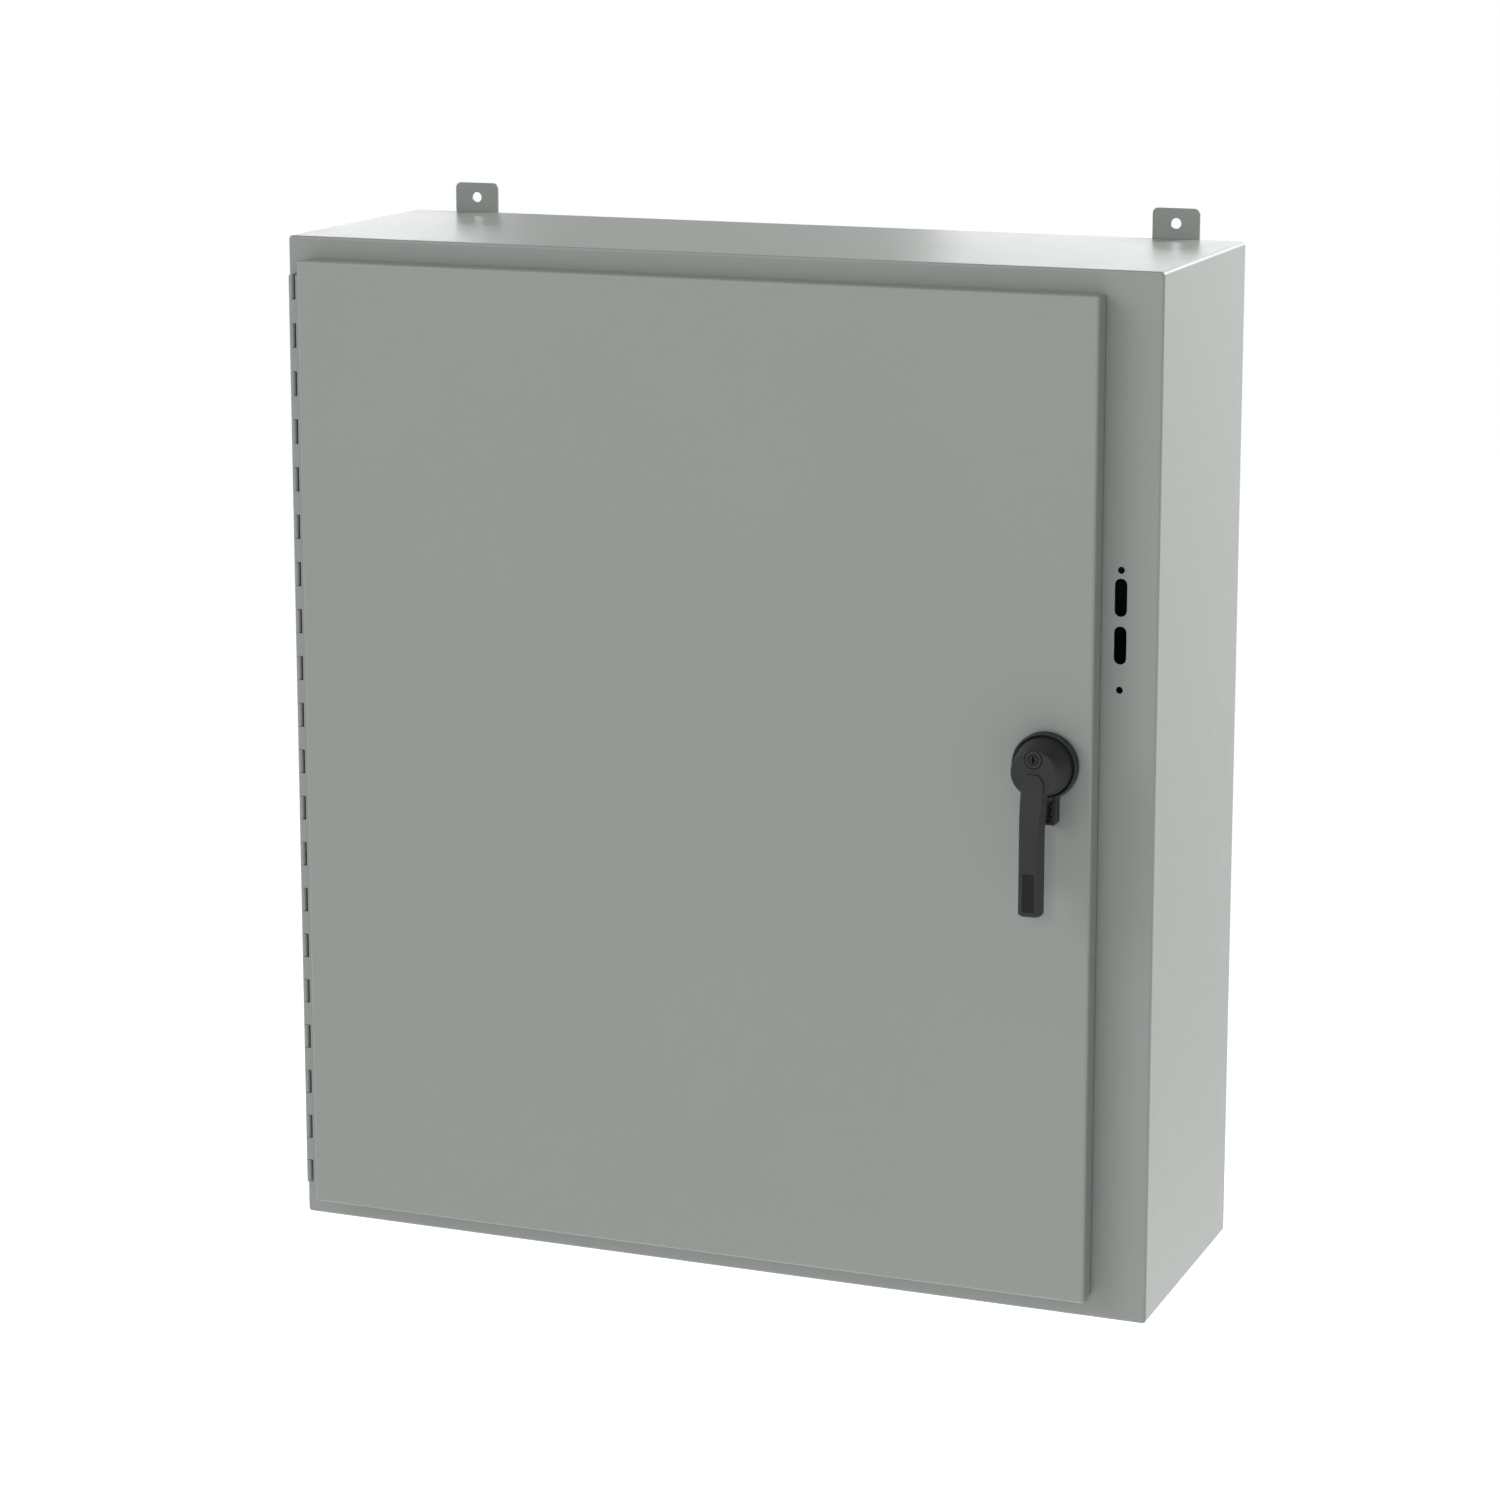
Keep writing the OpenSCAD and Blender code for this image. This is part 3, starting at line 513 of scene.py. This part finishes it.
def slot_cutter(x, z, radius, half_run):
    """A rod with a stadium section through the right flange."""
    steps = 16
    front, back = FRONT_Y - 4 * MM, FRONT_Y + 6 * MM
    points = []
    for side, start in ((1, 0), (-1, 180)):
        for i in range(steps + 1):
            a = math.radians(start + 180 * i / steps)
            points.append((x + radius * math.cos(a), z + side * half_run + radius * math.sin(a)))
    return loft("slot_cutter", [[Vector((px, y, pz)) for px, pz in points] for y in (front, back)])


# The openings in the right flange: a screw hole below and above a pair of slots
CUT_X = right[1].x - 38.6 * MM
SCREWS_Z = BODY[2] + 714.45 * MM
SCREW_REACH = 60.15 * MM
SCREW_R = 3.5 * MM
SLOTS_Z = SCREWS_Z + 8.75 * MM
SLOT_REACH = 23.95 * MM
SLOT_R = 6.35 * MM
SLOT_HALF_RUN = 12.7 * MM

shell = cabinet_shell()
holes = [slot_cutter(CUT_X, SCREWS_Z + s * SCREW_REACH, SCREW_R, SHARP) for s in (-1, 1)]
holes += [slot_cutter(CUT_X, SLOTS_Z + s * SLOT_REACH, SLOT_R, SLOT_HALF_RUN) for s in (-1, 1)]
cut(shell, *holes)
shell.data.shade_smooth()
soften(shell, SHEET_EDGE)
dress(shell, "cabinet_paint", "cabinet", "left_wall", "right_wall", "top_wall", "bottom_wall", "back_wall")


# ---------------------------------------------------------------- door

door_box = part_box("door_panel")
DOOR_Y = door_box[0].y
shaft_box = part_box("handle_shaft")
AXIS = ((shaft_box[0].x + shaft_box[1].x) / 2, (shaft_box[0].z + shaft_box[1].z) / 2)
SHAFT_HOLE_R = 8 * MM

pan = folded_pan("door_pan", door_box, SHEET, DOOR_BEND)
cut(pan, drill(SHAFT_HOLE_R, DOOR_Y - 2 * MM, DOOR_Y + 4 * MM, AXIS, 48))
pan.data.shade_smooth()
soften(pan, SHEET_EDGE)
dress(pan, "cabinet_paint", "door", "door_panel")


# ---------------------------------------------------------------- pieces inside and on the door

PANEL_SHEET = 2.7 * MM
PANEL_BEND = 3.5 * MM
WASHER_R = 11 * MM


def door_stiffeners():
    """Two hat sections with bent corners on the door's inner face."""
    low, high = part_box("door_stiffeners")
    width = 38 * MM
    foot = 9 * MM
    bend = 1.7 * MM
    half = SHEET / 2
    floor, crown = low.y + half, high.y - half
    hats = []
    for x in (low.x, high.x - width):
        near, far = x + foot - half, x + width - foot + half
        path = [(x, floor), (near, floor), (near, crown), (far, crown), (far, floor), (x + width, floor)]
        hats.append(folded("hat", path, SHEET, bend, low.z, high.z))
    dress(soften(joined("hat_stiffeners", hats), 0.3 * MM), "cabinet_paint", "door", "door_stiffeners")


def gasket_bead():
    """The poured gasket: a soft crowned bead that runs round the door's inner face."""
    low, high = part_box("door_gasket")
    half = 5 * MM
    corner = 14 * MM
    side = 1.6 * MM
    lean = 0.2 * MM
    fullness = 0.7
    shoulder = low.y + side
    rise = high.y - low.y - side
    section = [(0, low.y), (lean, shoulder)]
    for degrees in range(15, 180, 15):
        a = math.radians(degrees)
        section.append((half - half * math.cos(a), shoulder + rise * math.sin(a) ** fullness))
    section += [(2 * half - lean, shoulder), (2 * half, low.y)]
    loops = [rounded_loop(low.x + inset, high.x - inset, low.z + inset, high.z - inset, corner - inset, y,
                          steps=8) for inset, y in section]
    dress(loft("gasket_bead", loops, ring=True), "gasket_foam", "door", "door_gasket")


def equipment_panel():
    """The back panel as a pan with bent edges and holes for its studs."""
    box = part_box("back_panel")
    front = box[0].y
    hole_r = 5.4 * MM
    panel = folded_pan("equipment_panel", box, PANEL_SHEET, PANEL_BEND)
    cut(panel, *[drill(hole_r, front - MM, front + 5 * MM, place) for place in stud_places()])
    panel.data.shade_smooth()
    dress(soften(panel, 0.4 * MM), "panel_paint", "cabinet", "back_panel")


def stud_places():
    """(x, z) of the back panel's four studs, at the corners of their washers' box."""
    low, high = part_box("panel_washers")
    return [(x, z) for x in (low.x + WASHER_R, high.x - WASHER_R)
            for z in (low.z + WASHER_R, high.z - WASHER_R)]


def threaded_rod(radius, pitch, length):
    """A screw thread along +Z from the origin, with a chamfered tip."""
    around, per_turn = 24, 4
    depth = 0.6 * pitch
    rows = int(length / pitch * per_turn)
    loops = []
    for row in range(rows + 1):
        z = length * row / rows
        loop = []
        for i in range(around):
            phase = (z / pitch - i / around) % 1
            crest = radius - depth * abs(2 * phase - 1)
            r = min(crest, radius - depth + (length - z))
            a = 2 * math.pi * i / around
            loop.append(Vector((r * math.cos(a), r * math.sin(a), z)))
        loops.append(loop)
    return loft("thread", loops)


def turned(name, profile, rounding, steps=48):
    """Turns a (radius, height) outline about +Z, with its corners rounded."""
    obj = lathe(name, fillet(profile, rounding, 3), (0, 0), steps)
    obj.data.transform(Matrix.Rotation(math.radians(90), 4, "X"))
    return obj


def collar(name, bore, radius, height, rounding):
    """A washer or spacer along +Z, solid where its bore is 0."""
    return turned(name, [(bore, 0), (radius, 0), (radius, height), (bore, height)], rounding)


def hexagon(corner):
    """The six (x, y) corners of a hexagon."""
    angles = [math.radians(60 * i) for i in range(6)]
    return [(corner * math.cos(a), corner * math.sin(a)) for a in angles]


def hex_nut(across, bore, height):
    """A nut along +Z with its corners turned off."""
    corner = across / math.sqrt(3)
    rim = across * 0.48
    drop = (corner - rim) * 0.5
    nut = loft("nut", [[Vector((x, y, z)) for x, y in hexagon(corner)] for z in (0, height)])
    profile = [(0, 0), (rim, 0), (corner, drop), (corner, height - drop), (rim, height), (0, height)]
    blank = turned("blank", profile, SHARP)
    modifier(nut, "BOOLEAN", operation="INTERSECT", object=blank, solver="EXACT")
    applied(nut)
    bpy.data.objects.remove(blank)
    cut(nut, turned("bore", [(0, -MM), (bore, -MM), (bore, height + MM), (0, height + MM)], SHARP, 32))
    return soften(nut, 0.25 * MM)


def panel_fasteners():
    """The back panel's collars, studs, washers and nuts."""
    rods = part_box("panel_studs")
    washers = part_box("panel_washers")
    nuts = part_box("panel_nuts")
    panel_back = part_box("back_panel")[0].y + PANEL_SHEET
    root_y, washer_y, nut_y = rods[1].y, washers[1].y, nuts[1].y
    forwards = (0, -1, 0)
    studs, rings, hexes = [], [], []
    for x, z in stud_places():
        spacer = collar("spacer", 4 * MM, 9.5 * MM, root_y - panel_back, 0.5 * MM)
        studs.append(placed(spacer, (x, root_y, z), forwards))
        rod = threaded_rod(radius=4.7 * MM, pitch=1.5 * MM, length=root_y - rods[0].y)
        studs.append(placed(rod, (x, root_y, z), forwards))
        ring = collar("ring", 4.9 * MM, WASHER_R, washer_y - washers[0].y, 0.3 * MM)
        rings.append(placed(ring, (x, washer_y, z), forwards))
        nut = hex_nut(across=14.3 * MM, bore=4.75 * MM, height=nut_y - nuts[0].y)
        hexes.append(applied(placed(nut, (x, nut_y, z), forwards)))
    dress(joined("stud_set", studs), "zinc_plate", "cabinet", "panel_studs")
    dress(joined("washer_set", rings), "zinc_plate", "cabinet", "panel_washers")
    dress(joined("nut_set", hexes), "zinc_plate", "cabinet", "panel_nuts")


def along(box, direction):
    """The middle of a box, and half its size along the direction."""
    return (box[0] + box[1]) / 2, abs(((box[1] - box[0]) / 2).dot(direction))


def earth_stud(name, body, direction):
    """A threaded earth stud with its flange and nut, where the CAD nodes have them."""
    direction = Vector(direction)
    middle, half = along(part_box(name + "_stud"), direction)
    root = middle - direction * half
    flange = collar("flange", 0, 6 * MM, 2 * MM, 0.5 * MM)
    rod = threaded_rod(radius=3 * MM, pitch=1 * MM, length=2 * half)
    stud = joined(name + "_screw", [placed(flange, root, direction), placed(rod, root, direction)])
    dress(stud, "zinc_plate", body, name + "_stud")
    middle, half = along(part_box(name + "_nut"), direction)
    nut = placed(hex_nut(across=10 * MM, bore=3 * MM, height=2 * half), middle - direction * half, direction)
    dress(nut, "zinc_plate", body, name + "_nut")


def pocket_fasteners():
    """Blind rivets with domed heads and a punched middle."""
    low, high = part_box("pocket_rivets")
    head, shank = 4 * MM, 2 * MM
    base = high.y - 1.2 * MM
    pit = high.y - 0.9 * MM
    profile = [(0, low.y), (shank, low.y), (shank, base), (head, base), (3.8 * MM, base + 0.5 * MM),
               (3.2 * MM, high.y - 0.25 * MM), (shank, high.y), (1.2 * MM, high.y), (1.1 * MM, pit), (0, pit)]
    heads = [lathe("head", profile, (x, z), 32) for x in (low.x + head, high.x - head)
             for z in (low.z + head, high.z - head)]
    dress(joined("blind_rivets", heads), "zinc_plate", "door", "pocket_rivets")


def escutcheon_bolts():
    """Pan-head screws with a hexagon socket, behind the escutcheon."""
    low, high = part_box("escutcheon_screws")
    head, shank = 4.7 * MM, 2.4 * MM
    base = high.y - 3 * MM
    socket_corner = 1.75 * MM
    socket_depth = 1.8 * MM
    profile = [(0, low.y), (shank, low.y), (shank, base), (head, base), (head - 0.1 * MM, base + MM),
               (3.9 * MM, base + 2.3 * MM), (2.6 * MM, high.y), (0, high.y)]
    bolts = []
    for x in (low.x + head, high.x - head):
        socket = loft("socket", [[Vector((x + px, y, AXIS[1] + pz)) for px, pz in hexagon(socket_corner)]
                                 for y in (high.y - socket_depth, high.y + MM)])
        bolts.append(cut(lathe("bolt", profile, (x, AXIS[1]), 40), socket))
    dress(soften(joined("escutcheon_bolts", bolts), 0.15 * MM), "zinc_plate", "door", "escutcheon_screws")


def weld_beads():
    """Weld beads along both sides and the end of each wall tab, on the cabinet's back."""
    low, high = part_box("mounting_tabs")
    width = 50.8 * MM
    overlap = 44 * MM
    radius = 2.2 * MM
    edge_gap, end_gap, side_gap = 6 * MM, 7 * MM, 8 * MM
    beads = []
    for x0 in (low.x, high.x - width):
        x1 = x0 + width
        for edge, inwards in ((BODY[2], 1), (BODY[3], -1)):
            end = edge + inwards * overlap
            start, stop = edge + inwards * edge_gap, end - inwards * end_gap
            for x in (x0, x1):
                beads.append(bead((x, BACK_Y, start), (x, BACK_Y, stop), radius))
            beads.append(bead((x0 + side_gap, BACK_Y, end), (x1 - side_gap, BACK_Y, end), radius))
    dress(joined("weld_beads", beads), "cabinet_paint", "cabinet")


def bead(start, end, radius):
    """A rippled round bead with tapered ends."""
    around = 12
    row_gap = 0.5 * MM
    taper_run = 2 * MM
    tip = 0.02
    ripple_gap = 2.4 * MM
    ripple = 0.06
    start, end = Vector(start), Vector(end)
    length = (end - start).length
    rows = int(length / row_gap)
    angles = [2 * math.pi * i / around for i in range(around)]
    loops = []
    for row in range(rows + 1):
        z = length * row / rows
        taper = min(1, math.sqrt(min(z, length - z) / taper_run + tip))
        r = radius * taper * (1 - ripple + ripple * math.cos(2 * math.pi * z / ripple_gap))
        loops.append([Vector((r * math.cos(a), r * math.sin(a), z)) for a in angles])
    return placed(loft("bead", loops), start, end - start)


# ---------------------------------------------------------------- handle, escutcheon and lock

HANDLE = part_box("handle_lever")
LEVER_Y = HANDLE[0].y
HUB_Y = HANDLE[1].y
LEVER_L = AXIS[1] - HANDLE[0].z
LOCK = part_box("lock_collar")
LOCK_XZ = ((LOCK[0].x + LOCK[1].x) / 2, (LOCK[0].z + LOCK[1].z) / 2)
FACE_Y = LOCK[0].y + 0.6 * MM

# The lever's bar. A drop is a distance below the handle's axis.
LEVER_DEPTH = 16 * MM
LEVER_HALF = 11.6 * MM
LEVER_START = FACE_Y - 2 * MM
ROOT_DROP, ROOT_SOFT = 14 * MM, 8 * MM
BEND_DROP, BEND_SOFT = 54 * MM, 5 * MM
END_ROUND = 3 * MM
END_LEAN = 0.8
ROOT_TOP = 0.5 * MM
ROOT_ARCH = 12 * MM
ROOT_NARROW = 0.5
ROOT_FULLNESS = 0.8
SWELL = 0.03
SWELL_DROP, SWELL_RUN = 30 * MM, 18 * MM
CHAMFER = (1.2 * MM, 3.4 * MM)
CHAMFER_DROP, CHAMFER_RUN = 30 * MM, 30 * MM
EDGE_ROUND = 1.2 * MM

# The plain panel let into the lever's front. Its top and end are heights above the lever's end.
LABEL_HALF = 6 * MM
LABEL_TOP, LABEL_END = 44 * MM, 5 * MM
LABEL_DEPTH = 0.7 * MM
LABEL_SUNK = 0.35 * MM
LABEL_GAP = 0.2 * MM


def smooth_ramp(x, width):
    """Zero below 0 and x above it, with a round bend of the given width."""
    return (x + math.sqrt(x * x + width * width)) / 2


def lever_section(drop):
    """The lever's loop at a drop below the axis: a bar whose front edges are chamfered lower down."""
    slope = (LEVER_START - LEVER_Y) / (BEND_DROP - ROOT_DROP)
    front = LEVER_Y + slope * smooth_ramp(BEND_DROP - drop, BEND_SOFT)
    front -= slope * smooth_ramp(ROOT_DROP - drop, ROOT_SOFT)
    front = max(front, LEVER_Y)
    half = LEVER_HALF * (1 + SWELL * math.exp(-((drop - SWELL_DROP) / SWELL_RUN) ** 2))
    arch = (drop - ROOT_TOP) / ROOT_ARCH
    if arch < 1:
        half *= ROOT_NARROW + (1 - ROOT_NARROW) * math.sin(math.radians(90 * arch)) ** ROOT_FULLNESS
    lower = min(1, max(0, (drop - CHAMFER_DROP) / CHAMFER_RUN))
    chamfer = CHAMFER[0] + (CHAMFER[1] - CHAMFER[0]) * lower
    left = LEVER_L - drop
    pull = 0
    if left < END_ROUND:
        pull = END_ROUND - math.sqrt(END_ROUND ** 2 - (END_ROUND - left) ** 2)
    half -= pull
    front += pull * END_LEAN
    back = front + LEVER_DEPTH - 2 * END_LEAN * pull
    corners = [(-half, back), (-half, front + chamfer), (chamfer - half, front), (half - chamfer, front),
               (half, front + chamfer), (half, back)]
    outline = fillet([(0, back)] + corners + [(0, back)], EDGE_ROUND, 3)[:-1]
    return [Vector((AXIS[0] + p.x, p.y, AXIS[1] - drop)) for p in outline]


def handle_blank():
    """The hub, the lever and the fin behind its root, cast as one."""
    rim, face = 29.5 * MM, 23.4 * MM
    rim_depth = 3.2 * MM
    outline = [(0, HUB_Y), (rim, HUB_Y), (rim, HUB_Y - rim_depth), (face, FACE_Y), (0, FACE_Y)]
    hub = lathe("hub", fillet(outline, 2.2 * MM, 6), AXIS, 128)
    # The lever's sections lie close together at its arch, its two bends and its rounded end
    drops = [ROOT_TOP + ROOT_ARCH * k for k in (0.01, 0.05, 0.12, 0.25, 0.45, 0.7)]
    drops += [(10 + 2 * k) * MM for k in range(27)] + [(66 + 6 * k) * MM for k in range(12)]
    drops += [LEVER_L - END_ROUND * (1 - math.sin(math.radians(a))) for a in (0, 20, 40, 60, 75, 86)]
    lever = loft("lever", [lever_section(d) for d in sorted(drops)])
    fin = block("fin", (AXIS[0] - 3 * MM, HUB_Y - 9 * MM, AXIS[1] - 42 * MM),
                (AXIS[0] + 1.5 * MM, HUB_Y - MM, AXIS[1] - 20 * MM))
    return fused("handle", [hub, lever, fin], voxel=0.5 * MM, smooth=4, keep=0.3)


def handle():
    """The cast handle: a round hub with a soft rim, and a lever that leans out and then hangs straight."""
    cast = handle_blank()
    mouth, bore = 9.5 * MM, 8.6 * MM
    ahead, behind = FACE_Y - 4 * MM, FACE_Y + 14 * MM
    pocket = lathe("bore", [(0, ahead), (mouth, ahead), (mouth, FACE_Y + 0.1 * MM), (bore, FACE_Y + 1.1 * MM),
                            (bore, behind), (0, behind)], LOCK_XZ, 64)
    shaft = drill(7 * MM, HUB_Y - 11 * MM, HUB_Y + MM, AXIS, 48)
    x0, x1 = AXIS[0] - LABEL_HALF, AXIS[0] + LABEL_HALF
    z0, z1 = AXIS[1] - (LEVER_L - LABEL_END), AXIS[1] - (LEVER_L - LABEL_TOP)
    bed = LEVER_Y + LABEL_DEPTH
    label = slab("label", (x0, x1, z0, z1), MM, LEVER_Y - 2 * MM, bed)
    cut(cast, pocket, shaft, label)
    inside = (x0 + LABEL_GAP, x1 - LABEL_GAP, z0 + LABEL_GAP, z1 - LABEL_GAP)
    insert = slab("label_insert", inside, 0.8 * MM, LEVER_Y + LABEL_SUNK, bed)
    dress(soften(insert, 0.1 * MM), "seal_rubber", "handle")
    cast.data.shade_smooth()
    modifier(cast, "WEIGHTED_NORMAL", weight=50, keep_sharp=False)
    dress(cast, "handle_coat", "handle", "handle_lever")


def escutcheon():
    """The round base with a groove for the hub, and its padlock tab with two holes."""
    low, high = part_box("handle_escutcheon")
    front, back = low.y + 1.5 * MM, high.y
    ahead, behind = low.y - MM, back + MM
    bore, rim = 7.1 * MM, 33.8 * MM
    groove_in, groove_out = 27 * MM, 30.6 * MM
    floor, face = front + 2.2 * MM, front + 0.2 * MM
    profile = [(bore, back), (rim, back), (rim, front), (groove_out, front), (groove_out, floor),
               (groove_in, floor), (groove_in, face), (bore, face)]
    plate = lathe("plate", fillet(profile, 1.3 * MM, 4), AXIS, 128)
    x0, x1 = AXIS[0] + 1.5 * MM, AXIS[0] + 14 * MM
    z0, z1 = low.z, AXIS[1] - 28 * MM
    corner = 2.5 * MM
    outline = [(x0, z0), (x1 - corner, z0), (x1, z0 + corner), (x1, z1), (x0, z1)]
    tab = loft("tab", [[Vector((x, y, z)) for x, z in outline] for y in (low.y, back)])
    body = fused("escutcheon", [plate, tab], voxel=0.45 * MM, smooth=2, keep=0.35)
    clear = drill(30.3 * MM, low.y - 3 * MM, front + 0.1 * MM, AXIS, 96)
    recess = block("recess", (x0 + 2 * MM, ahead, z0 + 2.4 * MM),
                   (x1 - 4.2 * MM, front + 2.6 * MM, AXIS[1] - 34.5 * MM))
    groove = block("groove", (x1 - 3.4 * MM, ahead, z0 - MM),
                   (x1 - 2.6 * MM, low.y + 1.2 * MM, AXIS[1] - 34 * MM))
    padlock_r, padlock_x = 2 * MM, AXIS[0] + 6.5 * MM
    holes = [drill(padlock_r, ahead, behind, (padlock_x, z0 + dz)) for dz in (9 * MM, 16 * MM)]
    screw_r, screw_reach = 2.5 * MM, 22 * MM
    sockets = [drill(screw_r, front + 3 * MM, behind, (AXIS[0] + s * screw_reach, AXIS[1])) for s in (-1, 1)]
    cut(body, clear, recess, groove, *holes, *sockets)
    body.data.shade_smooth()
    modifier(body, "WEIGHTED_NORMAL", weight=50, keep_sharp=False)
    dress(body, "handle_coat", "door", "handle_escutcheon")


def lock():
    """The lock's collar and its key plug with a keyway."""
    front, back = LOCK[0].y, LOCK[1].y
    rim, bore = 8.6 * MM, 5.05 * MM
    profile = [(rim, back), (rim, front + 0.2 * MM), (7.4 * MM, front), (5.6 * MM, front + 0.3 * MM),
               (bore, front + 0.9 * MM), (bore, back)]
    ring = lathe("collar", fillet(profile, 0.25 * MM, 3), LOCK_XZ, 72)
    dress(ring, "handle_coat", "handle", "lock_collar")
    low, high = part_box("key_plug")
    radius = 5 * MM
    profile = [(0, high.y), (radius, high.y), (radius, low.y), (0, low.y)]
    plug = lathe("plug", fillet(profile, 0.45 * MM, 4), LOCK_XZ, 64)
    x, z = LOCK_XZ
    ahead, depth = low.y - MM, low.y + 6 * MM
    keyway = block("keyway", (x - 0.75 * MM, ahead, z - 3.4 * MM), (x + 0.75 * MM, depth, z + 3.4 * MM))
    ward = block("ward", (x + 0.2 * MM, ahead, z - 1.2 * MM), (x + 1.7 * MM, depth, z + 0.6 * MM))
    cut(plug, keyway, ward)
    plug.data.shade_smooth()
    dress(soften(plug, 0.15 * MM, angle=45), "lock_metal", "key", "key_plug")


door_stiffeners()
gasket_bead()
equipment_panel()
panel_fasteners()
earth_stud("cabinet_ground", "cabinet", (-1, 0, 0))
earth_stud("door_ground", "door", (0, 1, 0))
pocket_fasteners()
escutcheon_bolts()
weld_beads()
handle()
escutcheon()
lock()


# ---------------------------------------------------------------- CAD nodes that stay

# The width of each node's rounded edges, in mm
REFINED = {
    "mounting_tabs": 0.5, "hinge_body_leaf": 0.25, "hinge_door_leaf": 0.25, "hinge_pin": 0.4,
    "document_pocket": 0.7, "escutcheon_seal": 0.3, "shaft_bushing": 0.6, "rod_guides": 0.4,
    "handle_shaft": 0.5, "shaft_clip": 0.2, "latch_cam": 0.5, "cam_screw": 0.4, "cam_washer": 0.25,
    "rod_pivots": 0.4, "cam_roller_axle": 0.3, "cam_roller": 0.6, "upper_rod": 0.4,
    "upper_roller_axle": 0.3, "upper_roller": 0.6, "lower_rod": 0.4, "lower_roller_axle": 0.3,
    "lower_roller": 0.6,
}
node_slots = {p["node"]: p["material_slot"] for p in frame["record"]["subparts"]}
for name, obj in frame["nodes"].items():
    obj.data.materials.clear()
    obj.data.materials.append(MATERIALS[node_slots[name]])
    if name in REFINED:
        refine(name, REFINED[name] * MM)


# ---------------------------------------------------------------- stage, light and camera

# In metres: how far the floor lies below the cabinet, and half its width
FLOOR_DROP = 1.2
FLOOR_SIZE = 70

# The floor's own light, and the height above the horizon at which the world is dim
FLOOR_GLOW = 0.41
HORIZON_BAND = 0.15

# The camera's direction in radians, and its place in metres
AZIMUTH, ELEVATION = 0.3743, 0.1897
CAMERA_PLACE = (1.565, -4.178, 0.981)
LENS = 99.85
SHIFT_Y = -0.1


def stage():
    """A pale floor, well below the hanging cabinet."""
    bm = bmesh.new()
    bmesh.ops.create_grid(bm, x_segments=1, y_segments=1, size=FLOOR_SIZE)
    floor = new_object("floor", bm, smooth=False)
    floor.location.z = cad_box[0].z - FLOOR_DROP
    mat, tree, bsdf, coords = shader("floor_paper")
    tone = mixed(tree, noise(tree, coords, scale=2, detail=2), (0.93, 0.93, 0.93), (0.95, 0.95, 0.95))
    tree.links.new(tone, bsdf.inputs["Base Color"])
    bsdf.inputs["Roughness"].default_value = 0.95
    bsdf.inputs["Specular IOR Level"].default_value = 0.1
    bsdf.inputs["Emission Color"].default_value = (1, 1, 1, 1)
    bsdf.inputs["Emission Strength"].default_value = FLOOR_GLOW
    floor.data.materials.append(mat)


def lamp(name, kind, place, target, energy):
    """A light that the camera doesn't see, aimed at target."""
    data = bpy.data.lights.new(name, kind)
    data.energy = energy
    obj = bpy.data.objects.new(name, data)
    obj.location = place
    obj.rotation_euler = (Vector(target) - Vector(place)).to_track_quat("-Z", "Y").to_euler()
    obj.visible_camera = False
    bpy.context.scene.collection.objects.link(obj)
    return data


def softbox(name, place, target, size, power):
    """A rectangular area light."""
    data = lamp(name, "AREA", place, target, power)
    data.shape = "RECTANGLE"
    data.size, data.size_y = size


def soft_sun(name, place, strength, angle):
    """Even light from far away, soft as a large lamp."""
    lamp(name, "SUN", place, (0, 0, 0), strength).angle = math.radians(angle)


def world(above, below):
    """White below the horizon and dimmer above it."""
    w = bpy.data.worlds.new("studio")
    w.use_nodes = True
    tree = w.node_tree
    direction = tree.nodes.new("ShaderNodeTexCoord").outputs["Generated"]
    split = tree.nodes.new("ShaderNodeSeparateXYZ")
    ramp = tree.nodes.new("ShaderNodeMapRange")
    tree.links.new(direction, split.inputs["Vector"])
    tree.links.new(split.outputs["Z"], ramp.inputs["Value"])
    ramp.inputs["From Min"].default_value = 0.0
    ramp.inputs["From Max"].default_value = HORIZON_BAND
    ramp.inputs["To Min"].default_value = below
    ramp.inputs["To Max"].default_value = above
    tree.links.new(ramp.outputs["Result"], tree.nodes["Background"].inputs["Strength"])
    tree.nodes["Background"].inputs["Color"].default_value = (1, 1, 1, 1)
    bpy.context.scene.world = w


def camera():
    """The photograph's view: from the right, a little above."""
    data = bpy.data.cameras.new("camera")
    obj = bpy.data.objects.new("camera", data)
    bpy.context.scene.collection.objects.link(obj)
    ahead = Vector((-math.sin(AZIMUTH) * math.cos(ELEVATION), math.cos(AZIMUTH) * math.cos(ELEVATION),
                    -math.sin(ELEVATION)))
    obj.location = CAMERA_PLACE
    obj.rotation_euler = ahead.to_track_quat("-Z", "Y").to_euler()
    data.sensor_width = 36
    data.lens = LENS
    data.shift_y = SHIFT_Y
    data.clip_end = 60
    bpy.context.scene.camera = obj


stage()
world(0.40, 1.0)
soft_sun("left_sun", (-0.72, -0.55, 0.40), 1.35, 34)
soft_sun("front_sun", (0.1, -0.95, 0.3), 0.75, 15)
softbox("right_box", (2.3, 2.0, 2.0), (0.47, -0.1, 0.3), (1.2, 1.2), 190)
softbox("back_left_box", (-1.75, 1.5, 0.85), (-0.4, -0.15, 0.53), (1.2, 0.4), 6.2)
softbox("back_right_box", (0.65, 1.3, 0.85), (0.5, -0.15, 0.53), (2.0, 0.4), 6.8)
softbox("top_strip", (-0.2, -1.3, 2.2), (0, -0.1, 0.5), (2.4, 0.06), 9)
camera()
bpy.context.scene.view_settings.view_transform = "Standard"
bpy.context.scene.view_settings.look = "None"
